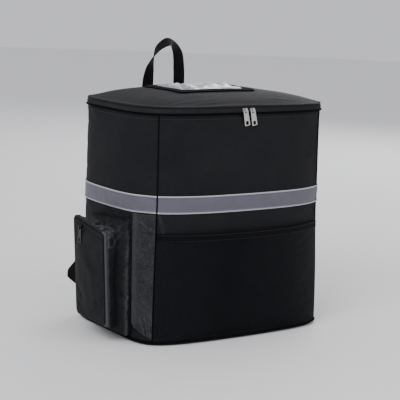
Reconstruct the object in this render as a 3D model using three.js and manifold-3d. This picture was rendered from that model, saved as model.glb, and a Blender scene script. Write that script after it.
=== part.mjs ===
import * as THREE from "three";
import { mergeVertices } from "three/addons/utils/BufferGeometryUtils.js";
import Module from "manifold-3d";

// Insulated delivery backpack. Millimetres, +Z up, front towards -Y.
// The origin is the centre of the flat base that the bag stands on.

// Body: a padded, open-topped tub
const bodyWidth = 400;
const bodyDepth = 270;
const bodyHeight = 400;
const bodyWall = 6;
const frontSwell = 17;
const sideSwell = 8;
const backSwell = 6;
const baseRound = 7;
const seatGap = 0.3;

// Lid: a padded dome on a zip band
const lidRise = 27;
const lidThickness = 5;
const lidShoulder = 2.2;
const lidSteepness = 0.72;
const bandHeight = 8.5;
const bandThickness = 2;
const bandLean = 1.5;
const coilWidth = 4;
const coilHeight = 1.2;

// Piped seams
const rimPipingRadius = 1.25;
const seamPipingRadius = 1.5;
const basePipingRadius = 1.5;
const basePipingHeight = 6;
const basePipingMargin = 4;

// Zip sliders and their pulls
const sliderLength = 10;
const sliderHeight = 7;
const sliderThickness = 2;
const bridgeWidth = 2;
const bridgeBar = 1;
const bridgeReach = 2.4;
const pullLength = 28;
const pullTopWidth = 9.6;
const pullFootWidth = 11.2;
const pullThickness = 1.2;
const pullClearance = 0.45;
const pullLean = 12;
const pullEyeWidth = 4.8;
const pullEyeLength = 4.3;
const pullWindowWidth = 5.8;
const pullWindowHeight = 6.6;
const pullWindowMargin = 1.6;
const pullRecessDepth = 0.3;
const pullCorner = 1.5;
const pullEyeCorner = 0.8;
const pullWindowCorner = 1.2;
const leftSliderX = -10.5;
const rightSliderX = 5;

// Card window on the lid
const windowWidth = 168;
const windowDepth = 130;
const windowCentreX = -14;
const windowCentreY = 0;
const windowThickness = 1;
const windowCorner = 12;
const windowBinding = 18;
const windowBindingThickness = 2;

// Reflective strip round the front and sides
const stripBottom = 230;
const stripHeight = 30.5;
const stripBorder = 3.2;
const stripThickness = 1.2;
const stripBorderThickness = 1.7;
const stripBorderStep = 0.4;

// Mesh pocket over the lower front
const meshThickness = 1.5;
const meshSlack = 9;
const hemTop = 196;
const hemHeight = 14;
const hemThickness = 2.5;

// Gathered panel on the front part of the left side
const sleeveThickness = 1.5;
const sleeveTop = 228;
const sleeveFootRear = 39;
const sleeveFootFront = 21;

// Zipped bellows pouch on the left side
const pouchFrontY = -84;
const pouchLength = 104;
const pouchReach = 44;
const pouchTop = 211;
const pouchTopDrop = 1;
const pouchFrontSag = 22;
const pouchFrontRise = 6;
const pouchFootRise = 25;
const pouchWall = 2;
const pouchCorner = 6;
const pouchFold = 4;
const pouchPuff = 5;
const pouchLean = 11;
const pouchEdge = 4;
const pouchPipingRadius = 1.5;
const pouchZipDrop = 6.5;
const pouchZipHeight = 9;
const pouchZipThickness = 1.2;
const pouchZipMargin = 9;
const pouchSliderMargin = 22;

// Webbing handle behind the lid
const webbingWidth = 25;
const webbingThickness = 1.8;
const handleSpan = 70;
const handleRise = 105;
const handleFoot = 26;

// Shoulder straps with buckles, lower webbing and corner tabs
const strapWidth = 62;
const strapThickness = 9;
const strapHandleClearance = 6;
const strapTop = 388;
const strapLength = 235;
const strapStandOff = 48;
const strapSplay = 42;
const strapSeatShare = 0.36;
const tabBase = 46;
const tabHeight = 73;
const tabReach = 30;
const tabThickness = 2.4;
const buckleWidth = 33;
const buckleHeight = 26;
const buckleThickness = 4;
const buckleBar = 4;
const buckleCorner = 3;
const slotCorner = 1;
const webbingClearance = 0.4;
const webbingSag = 4;
const tabGrip = 0.7;
const tailLength = 60;

// Sections of the body, as shares of its sizes, from the base up to the rim
const bodySections = [
  { at: 0, width: 0.985, depth: 1.015, squareness: 6.3, front: 0.7, side: 0 },
  { at: 0.61, width: 1, depth: 1, squareness: 4.2, front: 1, side: 1 },
  { at: 1, width: 0.99, depth: 1, squareness: 4.5, front: 0.05, side: 0.9 },
];

// Heights of the rings of the body, as shares of its height
const bodyLevels = [0.13, 0.26, 0.4, 0.52, 0.64, 0.76, 0.88, 1];
const innerLevels = [0.3, 0.6, 0.8, 1];

// Rings of the lid, as shares of the way out from its centre
const lidRings = [1, 0.985, 0.95, 0.88, 0.76, 0.56, 0.3];
const lidInnerRings = [1, 0.9, 0.7, 0.4];

// Rings of the pouch from the body out: reach and fold as shares of the pouch's reach and fold
const pouchRings = [
  { reach: 0, fold: 0 },
  { reach: 0.2, fold: 0.25 },
  { reach: 0.42, fold: 1 },
  { reach: 0.64, fold: 0.25 },
  { reach: 0.82, fold: 0 },
];

// Course of the handle: share of half its span, share of its rise, turn of the webbing in degrees
const handleCourse = [
  { side: -1, rise: 0.1, turn: 0 },
  { side: -0.98, rise: 0.32, turn: 4 },
  { side: -0.88, rise: 0.52, turn: 22 },
  { side: -0.66, rise: 0.72, turn: 56 },
  { side: -0.32, rise: 0.9, turn: 94 },
  { side: 0.22, rise: 1, turn: 120 },
  { side: 0.55, rise: 0.95, turn: 142 },
  { side: 0.87, rise: 0.78, turn: 170 },
  { side: 0.97, rise: 0.52, turn: 180 },
  { side: 1, rise: 0.3, turn: 180 },
  { side: 1, rise: 0.1, turn: 180 },
];

// Course of a shoulder strap: shares of its splay, stand-off and length, and of its width
const strapCourse = [
  { splay: 0, off: 0, down: 0, width: 0.8 },
  { splay: 0.02, off: 0.34, down: 0.05, width: 0.9 },
  { splay: 0.08, off: 0.76, down: 0.18, width: 1 },
  { splay: 0.2, off: 1, down: 0.38, width: 1 },
  { splay: 0.42, off: 0.94, down: 0.6, width: 0.96 },
  { splay: 0.7, off: 0.72, down: 0.8, width: 0.8 },
  { splay: 1, off: 0.5, down: 1, width: 0.5 },
];

const aroundSteps = 48;
const pouchSteps = 32;
const windowSteps = 36;
const rearRight = 45;
const rearLeft = 135;
const leftSide = 180;
const frontLeft = 225;
const frontRight = 315;

const wasm = await Module();
wasm.setup();

const bag = new THREE.Group();

function fabric(color, roughness = 0.85) {
  return new THREE.MeshStandardMaterial({ color, roughness, metalness: 0 });
}

function metal(color) {
  return new THREE.MeshStandardMaterial({ color, roughness: 0.35, metalness: 0.9 });
}

const blackCloth = fabric(0x1e1f23);
const blackMesh = fabric(0x111214, 0.95);
const blackBinding = fabric(0x141416);
const blackWebbing = fabric(0x121212, 0.8);
const reflectiveGrey = fabric(0x70707d, 0.5);
const clearSheet = new THREE.MeshStandardMaterial({ color: 0xd8d6e2, roughness: 0.15, metalness: 0 });
const silverMetal = metal(0xc8c3c3);
const darkMetal = metal(0x2a2a2c);
const blackPlastic = new THREE.MeshStandardMaterial({ color: 0x161617, roughness: 0.5, metalness: 0 });

function addMesh(parent, name, geometry, material) {
  const mesh = new THREE.Mesh(geometry, material);
  mesh.name = name;
  parent.add(mesh);
  return mesh;
}

function blend(from, to, share) {
  return from + (to - from) * share;
}

// Body surface

// The section's values at a height, eased between the rows of the table
function sectionAt(height) {
  const share = THREE.MathUtils.clamp(height / bodyHeight, 0, 1);
  const upper = Math.max(1, bodySections.findIndex((row) => row.at >= share));
  const low = bodySections[upper - 1];
  const high = bodySections[upper];
  const eased = THREE.MathUtils.smoothstep(share, low.at, high.at);
  const mixed = {};
  for (const key of Object.keys(low)) {
    mixed[key] = blend(low[key], high[key], eased);
  }
  return mixed;
}

// A point of the plan outline: a rounded square stretched to size, with swollen sides
function planPoint(angle, height) {
  const section = sectionAt(height);
  const cos = Math.cos(THREE.MathUtils.degToRad(angle));
  const sin = Math.sin(THREE.MathUtils.degToRad(angle));
  const n = section.squareness;
  const reach = (Math.abs(cos) ** n + Math.abs(sin) ** n) ** (-1 / n);
  const x = cos * reach;
  const y = sin * reach;
  const swellX = Math.sign(x) * sideSwell * section.side * (1 - y * y);
  const swellY = (y < 0 ? -frontSwell * section.front : backSwell) * (1 - x * x);
  return new THREE.Vector2(
    (bodyWidth / 2) * section.width * x + swellX,
    (bodyDepth / 2) * section.depth * y + swellY,
  );
}

function planNormal(angle, height) {
  const ahead = planPoint(angle + 0.5, height);
  const along = ahead.sub(planPoint(angle - 0.5, height)).normalize();
  return new THREE.Vector2(along.y, -along.x);
}

// A point on the body's outer face, or so far out from it
function bodyPoint(angle, height, out = 0) {
  const lift = THREE.MathUtils.clamp(baseRound - height, 0, baseRound);
  const inset = baseRound - Math.sqrt(baseRound ** 2 - lift ** 2);
  const plan = planPoint(angle, height).addScaledVector(planNormal(angle, height), out - inset);
  return new THREE.Vector3(plan.x, plan.y, height);
}

// The angle, between two given ones, where the outline crosses a value of x or y
function angleWhere(axis, value, height, from, to) {
  let low = from;
  let high = to;
  const rising = bodyPoint(to, height)[axis] > bodyPoint(from, height)[axis];
  for (let step = 0; step < 40; step += 1) {
    const middle = (low + high) / 2;
    if (bodyPoint(middle, height)[axis] < value === rising) low = middle;
    else high = middle;
  }
  return (low + high) / 2;
}

// The angle a given length away from another, along the outline
function angleBeside(angle, height, distance) {
  const step = bodyPoint(angle + 0.5, height).distanceTo(bodyPoint(angle - 0.5, height));
  return angle + distance / step;
}

const stepAngle = 360 / aroundSteps;
const loopAngles = Array.from({ length: aroundSteps }, (_, index) => index * stepAngle);
const ringHeights = [baseRound, ...bodyLevels.map((share) => share * bodyHeight)];

// Values from one end to the other that keep the body's own facet lines in between
function between(from, to, lines) {
  const inside = lines.filter((line) => line > from + 0.4 && line < to - 0.4);
  return [from, ...inside, to];
}

function anglesBetween(from, to) {
  const turns = [-360, 0, 360].flatMap((turn) => loopAngles.map((angle) => angle + turn));
  return between(from, to, turns.sort((a, b) => a - b));
}

function heightsBetween(from, to) {
  return between(from, to, ringHeights);
}

// Closed solids

// Turns a list of triangles into a geometry whose faces point out
function closedGeometry(points, triangles) {
  let volume = 0;
  for (const [a, b, c] of triangles) {
    volume += points[a].dot(new THREE.Vector3().crossVectors(points[b], points[c]));
  }
  const facing = volume < 0 ? triangles.map(([a, b, c]) => [a, c, b]) : triangles;
  const geometry = new THREE.BufferGeometry();
  geometry.setFromPoints(points);
  geometry.setIndex(facing.flat());
  geometry.computeVertexNormals();
  return geometry;
}

// A solid through rings of equal length. It closes on itself, or has a fan on each end.
function ringSolid(rings, closesOnItself = false) {
  const size = rings[0].length;
  const points = rings.flat();
  const triangles = [];
  const bands = closesOnItself ? rings.length : rings.length - 1;
  for (let ring = 0; ring < bands; ring += 1) {
    const next = (ring + 1) % rings.length;
    for (let index = 0; index < size; index += 1) {
      const beside = (index + 1) % size;
      const a = ring * size + index;
      const b = ring * size + beside;
      const c = next * size + beside;
      const d = next * size + index;
      triangles.push([a, b, c], [a, c, d]);
    }
  }
  if (!closesOnItself) {
    for (const ring of [0, rings.length - 1]) {
      const centre = points.length;
      const middle = new THREE.Vector3();
      for (const point of rings[ring]) {
        middle.addScaledVector(point, 1 / size);
      }
      points.push(middle);
      for (let index = 0; index < size; index += 1) {
        const a = ring * size + index;
        const b = ring * size + ((index + 1) % size);
        triangles.push(ring === 0 ? [centre, b, a] : [centre, a, b]);
      }
    }
  }
  return closedGeometry(points, triangles);
}

// A sheet with a face and a back, over columns and rows, and edges all round
function sheetSolid(columns, rows, face, back) {
  const rings = columns.map((column) => [
    ...rows.map((row) => face(column, row)),
    ...rows.toReversed().map((row) => back(column, row)),
  ]);
  const size = rings[0].length;
  const points = rings.flat();
  const triangles = [];
  for (let ring = 0; ring < rings.length - 1; ring += 1) {
    for (let index = 0; index < size; index += 1) {
      const beside = (index + 1) % size;
      const a = ring * size + index;
      const b = ring * size + beside;
      triangles.push([a, b, b + size], [a, b + size, a + size]);
    }
  }
  const last = (rings.length - 1) * size;
  for (let row = 0; row < rows.length - 1; row += 1) {
    const a = row;
    const b = row + 1;
    const c = size - 2 - row;
    const d = size - 1 - row;
    triangles.push([a, c, b], [a, d, c]);
    triangles.push([last + a, last + b, last + c], [last + a, last + c, last + d]);
  }
  return closedGeometry(points, triangles);
}

// Rings of a section whose points are given by how far they are out and up
function sectionRings(angles, baseHeight, section) {
  return angles.map((angle) =>
    section.map(({ out, up }) => {
      const point = bodyPoint(angle, baseHeight, out);
      point.z += up;
      return point;
    }),
  );
}

function roundSection(radius, out, up, sides = 6) {
  return Array.from({ length: sides }, (_, index) => {
    const turn = (index / sides) * Math.PI * 2;
    return { out: out + radius * Math.cos(turn), up: up + radius * Math.sin(turn) };
  });
}

function toManifold(geometry) {
  const bare = geometry.clone();
  bare.deleteAttribute("normal");
  if (bare.hasAttribute("uv")) bare.deleteAttribute("uv");
  const merged = mergeVertices(bare, 1e-5);
  return new wasm.Manifold(
    new wasm.Mesh({
      numProp: 3,
      vertProperties: new Float32Array(merged.attributes.position.array),
      triVerts: new Uint32Array(merged.index.array),
    }),
  );
}

function fromManifold(solid) {
  const mesh = solid.getMesh();
  const geometry = new THREE.BufferGeometry();
  geometry.setAttribute("position", new THREE.BufferAttribute(mesh.vertProperties, 3));
  geometry.setIndex(Array.from(mesh.triVerts));
  geometry.computeVertexNormals();
  return geometry;
}

function roundedRectangle(path, left, bottom, right, top, radius) {
  path.moveTo(left + radius, bottom);
  path.lineTo(right - radius, bottom);
  path.absarc(right - radius, bottom + radius, radius, -Math.PI / 2, 0, false);
  path.lineTo(right, top - radius);
  path.absarc(right - radius, top - radius, radius, 0, Math.PI / 2, false);
  path.lineTo(left + radius, top);
  path.absarc(left + radius, top - radius, radius, Math.PI / 2, Math.PI, false);
  path.lineTo(left, bottom + radius);
  path.absarc(left + radius, bottom + radius, radius, Math.PI, Math.PI * 1.5, false);
  return path;
}

// Body shell: padded walls and a flat base, open at the top

function bodyShell() {
  const innerFloorInset = bodyWall + baseRound / 2;
  const innerHeights = [baseRound, ...innerLevels.map((share) => share * bodyHeight)];
  const rings = [
    loopAngles.map((angle) => bodyPoint(angle, 0)),
    loopAngles.map((angle) => bodyPoint(angle, baseRound * (1 - Math.SQRT1_2))),
    ...ringHeights.map((height) => loopAngles.map((angle) => bodyPoint(angle, height))),
    ...innerHeights.toReversed().map((height) =>
      loopAngles.map((angle) => bodyPoint(angle, height, -bodyWall)),
    ),
    loopAngles.map((angle) => {
      const point = bodyPoint(angle, baseRound, -innerFloorInset);
      point.z = bodyWall;
      return point;
    }),
  ];
  return ringSolid(rings);
}

addMesh(bag, "body_shell", bodyShell(), blackCloth);

// Lid: a dome with the rim's outline, hollow underneath

const bandFoot = bodyHeight + seatGap;
const lidFoot = bandFoot + bandHeight + seatGap;

function domeShare(share) {
  return Math.max(0, 1 - share ** lidShoulder) ** lidSteepness;
}

function lidPanel() {
  const ring = (share, out, rise) =>
    loopAngles.map((angle) => {
      const edge = bodyPoint(angle, bodyHeight, out);
      return new THREE.Vector3(edge.x * share, edge.y * share, lidFoot + rise * domeShare(share));
    });
  const outer = lidRings.map((share) => ring(share, -bandLean, lidRise));
  const inner = lidInnerRings.map((share) =>
    ring(share, -bandLean - lidThickness, lidRise - lidThickness),
  );
  return ringSolid([...outer.toReversed(), ...inner]);
}

// Height of the lid's top above a point of the plan
function lidHeight(x, y) {
  let low = 0;
  let high = 360;
  const wanted = (THREE.MathUtils.radToDeg(Math.atan2(y, x)) + 360) % 360;
  for (let step = 0; step < 30; step += 1) {
    const middle = (low + high) / 2;
    const edge = bodyPoint(middle, bodyHeight, -bandLean);
    const bearing = (THREE.MathUtils.radToDeg(Math.atan2(edge.y, edge.x)) + 360) % 360;
    if (bearing < wanted) low = middle;
    else high = middle;
  }
  const edge = bodyPoint(low, bodyHeight, -bandLean);
  return lidFoot + lidRise * domeShare(Math.hypot(x, y) / Math.hypot(edge.x, edge.y));
}

addMesh(bag, "lid_panel", lidPanel(), blackCloth);

// Zip band along the front and sides, cloth hinge along the back

const coilFoot = (bandHeight - coilWidth) / 2;
const coilTop = coilFoot + coilWidth;

function bandOut(up) {
  return -bandLean * (up / bandHeight);
}

function zipBand() {
  const section = [
    { out: bandOut(0), up: 0 },
    { out: bandOut(coilFoot), up: coilFoot },
    { out: bandOut(coilFoot) + coilHeight, up: blend(coilFoot, coilTop, 0.2) },
    { out: bandOut(coilTop) + coilHeight, up: blend(coilFoot, coilTop, 0.8) },
    { out: bandOut(coilTop), up: coilTop },
    { out: bandOut(bandHeight), up: bandHeight },
    { out: bandOut(bandHeight) - bandThickness, up: bandHeight },
    { out: bandOut(0) - bandThickness, up: 0 },
  ].map(({ out, up }) => ({ out, up: up + seatGap }));
  return ringSolid(sectionRings(anglesBetween(rearLeft, rearRight + 360), bodyHeight, section));
}

function lidHinge() {
  const section = [
    { out: bandOut(0), up: seatGap },
    { out: bandOut(bandHeight), up: seatGap + bandHeight },
    { out: bandOut(bandHeight) - bandThickness, up: seatGap + bandHeight },
    { out: bandOut(0) - bandThickness, up: seatGap },
  ];
  const start = angleBeside(rearRight, bodyHeight, seatGap);
  const end = angleBeside(rearLeft, bodyHeight, -seatGap);
  return ringSolid(sectionRings(anglesBetween(start, end), bodyHeight, section));
}

addMesh(bag, "zip_band", zipBand(), blackBinding);
addMesh(bag, "lid_hinge_strip", lidHinge(), blackCloth);

// Piping round the rim and the base, and down the four corner seams

const rimPipingHeight = bodyHeight - rimPipingRadius;

function pipingRing(radius, height) {
  const section = roundSection(radius, radius + seatGap, 0);
  const join = angleBeside(90, height, 1);
  return ringSolid(sectionRings(anglesBetween(join, 90 + 360), height, section));
}

function cornerPiping(angle) {
  const foot = Math.max(baseRound, basePipingHeight + basePipingRadius) + seatGap;
  const top = rimPipingHeight - rimPipingRadius - seatGap;
  const rings = heightsBetween(foot, top).map((height) => {
    const centre = bodyPoint(angle, height, seamPipingRadius + seatGap);
    return roundSection(seamPipingRadius, 0, 0).map(
      ({ out, up }) => new THREE.Vector3(centre.x + out, centre.y + up, height),
    );
  });
  return ringSolid(rings);
}

addMesh(bag, "rim_piping", pipingRing(rimPipingRadius, rimPipingHeight), blackBinding);
addMesh(bag, "base_piping", pipingRing(basePipingRadius, basePipingHeight), blackBinding);
addMesh(bag, "corner_piping_front_left", cornerPiping(frontLeft), blackBinding);
addMesh(bag, "corner_piping_front_right", cornerPiping(frontRight), blackBinding);
addMesh(bag, "corner_piping_rear_left", cornerPiping(rearLeft), blackBinding);
addMesh(bag, "corner_piping_rear_right", cornerPiping(rearRight), blackBinding);

// What is sewn on above the base piping starts here
const sewnFoot = basePipingHeight + basePipingRadius + basePipingMargin;

// The panels between two corner seams stop short of the piping
const seamMargin = seamPipingRadius + seatGap;

function pastSeam(angle, height) {
  return angleBeside(angle, height, seamMargin);
}

function beforeSeam(angle, height) {
  return angleBeside(angle, height, -seamMargin);
}

// Reflective strip, one length for each panel, with a raised border along both edges

function reflectiveStrip(from, to) {
  const section = [
    { far: stripBorderThickness, up: 0 },
    { far: stripBorderThickness, up: stripBorder },
    { far: stripThickness, up: stripBorder + stripBorderStep },
    { far: stripThickness, up: stripHeight - stripBorder - stripBorderStep },
    { far: stripBorderThickness, up: stripHeight - stripBorder },
    { far: stripBorderThickness, up: stripHeight },
  ];
  const middle = stripBottom + stripHeight / 2;
  return sheetSolid(
    anglesBetween(pastSeam(from, middle), beforeSeam(to, middle)),
    section,
    (angle, row) => bodyPoint(angle, stripBottom + row.up, seatGap + row.far),
    (angle, row) => bodyPoint(angle, stripBottom + row.up, seatGap),
  );
}

addMesh(bag, "reflective_strip_left", reflectiveStrip(rearLeft, frontLeft), reflectiveGrey);
addMesh(bag, "reflective_strip_front", reflectiveStrip(frontLeft, frontRight), reflectiveGrey);
addMesh(bag, "reflective_strip_right", reflectiveStrip(frontRight, rearRight + 360), reflectiveGrey);

// Mesh pocket over the lower front, slack at its mouth, with a bound hem

const hemFoot = hemTop - hemHeight;
const meshStart = pastSeam(frontLeft, hemFoot);
const meshEnd = beforeSeam(frontRight, hemFoot);

// How far the pocket stands off: nothing at the seams, most in the middle of the mouth
function meshOff(angle, height) {
  const across = (angle - meshStart) / (meshEnd - meshStart);
  const up = THREE.MathUtils.clamp((height - sewnFoot) / (hemTop - sewnFoot), 0, 1);
  return seatGap + meshSlack * Math.sin(Math.PI * across) * Math.sin((Math.PI / 2) * up);
}

function frontSheet(low, high, thickness) {
  return sheetSolid(
    anglesBetween(meshStart, meshEnd),
    heightsBetween(low, high),
    (angle, height) => bodyPoint(angle, height, meshOff(angle, height) + thickness),
    (angle, height) => bodyPoint(angle, height, meshOff(angle, height)),
  );
}

addMesh(bag, "front_mesh_pocket", frontSheet(sewnFoot, hemFoot - seatGap, meshThickness), blackMesh);
addMesh(bag, "front_pocket_hem", frontSheet(hemFoot, hemTop, hemThickness), blackBinding);

// Gathered panel between the pouch and the front seam of the left side

function sideSleeve() {
  const beside = [sleeveFootFront, stripBottom / 2, stripBottom].map((height) =>
    angleWhere("y", pouchFrontY - seatGap, height, leftSide, frontLeft),
  );
  const start = Math.max(...beside);
  const end = beforeSeam(frontLeft, stripBottom);
  const foot = (angle) =>
    blend(sleeveFootRear, sleeveFootFront, Math.sqrt((angle - start) / (end - start)));
  const rows = heightsBetween(Math.max(sleeveFootRear, sleeveFootFront), sleeveTop);
  const place = (angle, row, out) => bodyPoint(angle, row === rows[0] ? foot(angle) : row, out);
  return sheetSolid(
    anglesBetween(start, end),
    rows,
    (angle, row) => place(angle, row, seatGap + sleeveThickness),
    (angle, row) => place(angle, row, seatGap),
  );
}

addMesh(bag, "side_sleeve", sideSleeve(), blackCloth);

// Pouch: a face and a folded gusset, open towards the side that it is sewn to

const pouchFaceX = -(bodyWidth / 2) - pouchReach;
const pouchRearY = pouchFrontY + pouchLength;

function sideX(y, height) {
  const angle = angleWhere("y", y, height, leftSide - 40, leftSide + 40);
  return bodyPoint(angle, height).x;
}

// Outline of the pouch at a share of its reach, inset all round
function pouchOutline(reach, inset) {
  const top = pouchTop - pouchTopDrop * reach - inset;
  const foot = sewnFoot + pouchFootRise * reach ** 2 + inset;
  const shape = new THREE.Path();
  roundedRectangle(shape, pouchFrontY + inset, foot, pouchRearY - inset, top, pouchCorner - inset / 2);
  return shape
    .getSpacedPoints(pouchSteps)
    .slice(0, pouchSteps)
    .map(({ x: y, y: height }) => new THREE.Vector2(y, sloped(y, height, reach)));
}

// Towards its front end the top of the pouch rises at the body and sags at the face
function sloped(y, height, reach) {
  const forward = (pouchRearY - y) / pouchLength;
  const fall = (pouchFrontSag * reach - pouchFrontRise) * forward;
  return height - (fall * (height - sewnFoot)) / (pouchTop - sewnFoot);
}

// The face leans out from its foot to its top
function pouchFaceAt(height) {
  return pouchFaceX - (pouchLean * (height - sewnFoot)) / (pouchTop - sewnFoot);
}

function pouchRing(reach, inset, setBack = 0) {
  return pouchOutline(reach, inset).map(({ x: y, y: height }) => {
    const start = sideX(y, height) - seatGap;
    return new THREE.Vector3(blend(start, pouchFaceAt(height), reach) + setBack, y, height);
  });
}

// A ring on the pouch's face, shrunk towards its middle and puffed out
function faceRing(share, lift) {
  const outline = pouchRing(1, pouchEdge);
  const middle = new THREE.Vector3();
  for (const point of outline) {
    middle.addScaledVector(point, 1 / outline.length);
  }
  return outline.map((point) => {
    const moved = point.clone().lerp(middle, 1 - share);
    moved.x -= pouchPuff * (1 - share ** 2) - lift;
    return moved;
  });
}

function pouchLip() {
  return pouchRing(1 - pouchEdge / pouchReach, 0);
}

function sidePouch() {
  const outer = pouchRings.map((row) => pouchRing(row.reach, pouchFold * row.fold));
  const innerRows = pouchRings.filter((row, index) => index % 2 === 0);
  const inner = innerRows.map((row) => pouchRing(row.reach, pouchFold * row.fold + pouchWall));
  const innerLip = pouchRing(1 - pouchEdge / pouchReach, pouchWall, pouchWall);
  const faces = [1, 0.75, 0.4];
  return ringSolid([
    ...faces.toReversed().map((share) => faceRing(share * 0.96, pouchWall)),
    innerLip,
    ...inner.toReversed(),
    ...outer,
    pouchLip(),
    ...faces.map((share) => faceRing(share, 0)),
  ]);
}

// Piping that lies on the slanted edge between the gusset and the face
function pouchPiping() {
  const lip = pouchLip();
  const face = faceRing(1, 0);
  const size = lip.length;
  const rings = lip.map((point, index) => {
    const middle = point.clone().lerp(face[index], 0.5);
    const slant = face[index].clone().sub(point).normalize();
    const along = lip[(index + 1) % size].clone().sub(lip[(index + size - 1) % size]);
    const away = slant.clone().cross(along).normalize();
    const out = pouchPipingRadius + seatGap * 2;
    return roundSection(pouchPipingRadius, out, 0).map((place) =>
      middle.clone().addScaledVector(away, place.out).addScaledVector(slant, place.up),
    );
  });
  return ringSolid(rings, true);
}

const pouchFaceTop = pouchTop - pouchTopDrop - pouchEdge;

// How far the pouch's face stands proud of its edge at a point
function facePuff(y, height) {
  const foot = sewnFoot + pouchFootRise + pouchEdge;
  const middleY = (pouchFrontY + pouchRearY) / 2;
  const middleHeight = (pouchFaceTop + foot) / 2;
  const sideways = Math.abs(y - middleY) / (pouchLength / 2 - pouchEdge);
  const upright = Math.abs(height - middleHeight) / ((pouchFaceTop - foot) / 2);
  const share = Math.min(1, Math.max(sideways, upright));
  return pouchPuff * (1 - share ** 2);
}

const pouchZipTop = pouchFaceTop - pouchZipDrop + pouchZipHeight / 2;
const pouchZipMiddle = pouchZipTop - pouchZipHeight / 2;

function pouchZip() {
  const columns = [];
  for (let step = 0; step <= 8; step += 1) {
    columns.push(blend(pouchFrontY + pouchZipMargin, pouchRearY - pouchZipMargin, step / 8));
  }
  const rows = [-0.5, 0, 0.5].map((share) => pouchZipMiddle + share * pouchZipHeight);
  const place = (y, height, out) => {
    const fallen = sloped(y, height, 1);
    return new THREE.Vector3(pouchFaceAt(fallen) - facePuff(y, height) - seatGap - out, y, fallen);
  };
  return sheetSolid(
    columns,
    rows,
    (y, height) => place(y, height, pouchZipThickness),
    (y, height) => place(y, height, 0),
  );
}

addMesh(bag, "side_pouch", sidePouch(), blackCloth);
addMesh(bag, "pouch_piping", pouchPiping(), blackBinding);
addMesh(bag, "pouch_zip", pouchZip(), blackBinding);

// Zip slider: a plate over the coil with a bridge that holds the pull

const bridgeGap = pullThickness + pullClearance * 2;
const pivotOut = sliderThickness + bridgeGap / 2;

function boxBetween(left, right, back, front, bottom, top) {
  const box = new THREE.BoxGeometry(right - left, front - back, top - bottom);
  box.translate((left + right) / 2, (back + front) / 2, (bottom + top) / 2);
  return box;
}

function sliderGeometry() {
  const plate = new THREE.Shape();
  const half = sliderLength / 2;
  roundedRectangle(plate, -half, -sliderHeight / 2, half, sliderHeight / 2, sliderHeight / 4);
  const plateGeometry = new THREE.ExtrudeGeometry(plate, {
    depth: sliderThickness,
    bevelEnabled: false,
    curveSegments: 4,
  });
  plateGeometry.rotateX(Math.PI / 2);
  const post = bridgeReach + bridgeBar;
  const outerFace = sliderThickness + bridgeGap + bridgeBar;
  const halfWidth = bridgeWidth / 2;
  const low = -sliderThickness / 2;
  let slider = toManifold(plateGeometry);
  for (const side of [-1, 1]) {
    const bottom = Math.min(side * bridgeReach, side * post);
    const top = Math.max(side * bridgeReach, side * post);
    slider = slider.add(toManifold(boxBetween(-halfWidth, halfWidth, -outerFace, low, bottom, top)));
  }
  const barBack = -outerFace + bridgeBar;
  const bar = boxBetween(-halfWidth, halfWidth, -outerFace, barBack, -post, post);
  return fromManifold(slider.add(toManifold(bar)));
}

// Pull: a plate that widens to its foot, with an eye, a sunk middle and a window
function pullGeometry() {
  const top = pullThickness / 2;
  const foot = top - pullLength;
  const corner = pullCorner;
  const plate = new THREE.Shape();
  plate.moveTo(-pullFootWidth / 2 + corner, foot);
  plate.lineTo(pullFootWidth / 2 - corner, foot);
  plate.quadraticCurveTo(pullFootWidth / 2, foot, pullFootWidth / 2, foot + corner);
  plate.lineTo(pullTopWidth / 2, top - corner);
  plate.quadraticCurveTo(pullTopWidth / 2, top, pullTopWidth / 2 - corner, top);
  plate.lineTo(-pullTopWidth / 2 + corner, top);
  plate.quadraticCurveTo(-pullTopWidth / 2, top, -pullTopWidth / 2, top - corner);
  plate.lineTo(-pullFootWidth / 2, foot + corner);
  plate.quadraticCurveTo(-pullFootWidth / 2, foot, -pullFootWidth / 2 + corner, foot);
  const eyeTop = -pullThickness / 2;
  const eyeFoot = eyeTop - pullEyeLength;
  const eye = roundedRectangle(
    new THREE.Path(), -pullEyeWidth / 2, eyeFoot, pullEyeWidth / 2, eyeTop, pullEyeCorner,
  );
  const windowFoot = foot + pullWindowMargin;
  const windowTop = windowFoot + pullWindowHeight;
  const window = roundedRectangle(
    new THREE.Path(), -pullWindowWidth / 2, windowFoot, pullWindowWidth / 2, windowTop,
    pullWindowCorner,
  );
  plate.holes.push(eye, window);
  const options = { depth: pullThickness, bevelEnabled: false, curveSegments: 2 };
  const body = new THREE.ExtrudeGeometry(plate, options);
  body.rotateX(Math.PI / 2);
  body.translate(0, pullThickness / 2, 0);
  const recess = new THREE.Shape();
  roundedRectangle(
    recess, -pullWindowWidth / 2, windowTop + pullWindowMargin,
    pullWindowWidth / 2, eyeFoot - pullWindowMargin, pullWindowCorner,
  );
  const sink = new THREE.ExtrudeGeometry(recess, { ...options, depth: pullThickness });
  sink.rotateX(Math.PI / 2);
  sink.translate(0, -pullThickness / 2 + pullRecessDepth, 0);
  return fromManifold(toManifold(body).subtract(toManifold(sink)));
}

// Puts a slider and its pull in a frame whose -Y points out of the zip
function addSlider(name, place, turn, lean, material) {
  const mounting = new THREE.Group();
  mounting.position.copy(place);
  mounting.rotation.z = turn;
  bag.add(mounting);
  addMesh(mounting, `${name}_slider`, sliderGeometry(), material);
  const swing = new THREE.Group();
  swing.position.set(0, -pivotOut, 0);
  swing.rotation.y = -THREE.MathUtils.degToRad(lean);
  mounting.add(swing);
  addMesh(swing, `${name}_pull`, pullGeometry(), material);
}

const coilMiddle = bandFoot + bandHeight / 2;
const coilOut = bandOut(coilFoot) + coilHeight;

function frontAt(x) {
  const angle = angleWhere("x", x, bodyHeight, frontLeft, frontRight);
  const point = bodyPoint(angle, bodyHeight, coilOut + seatGap);
  return point.setZ(coilMiddle);
}

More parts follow.
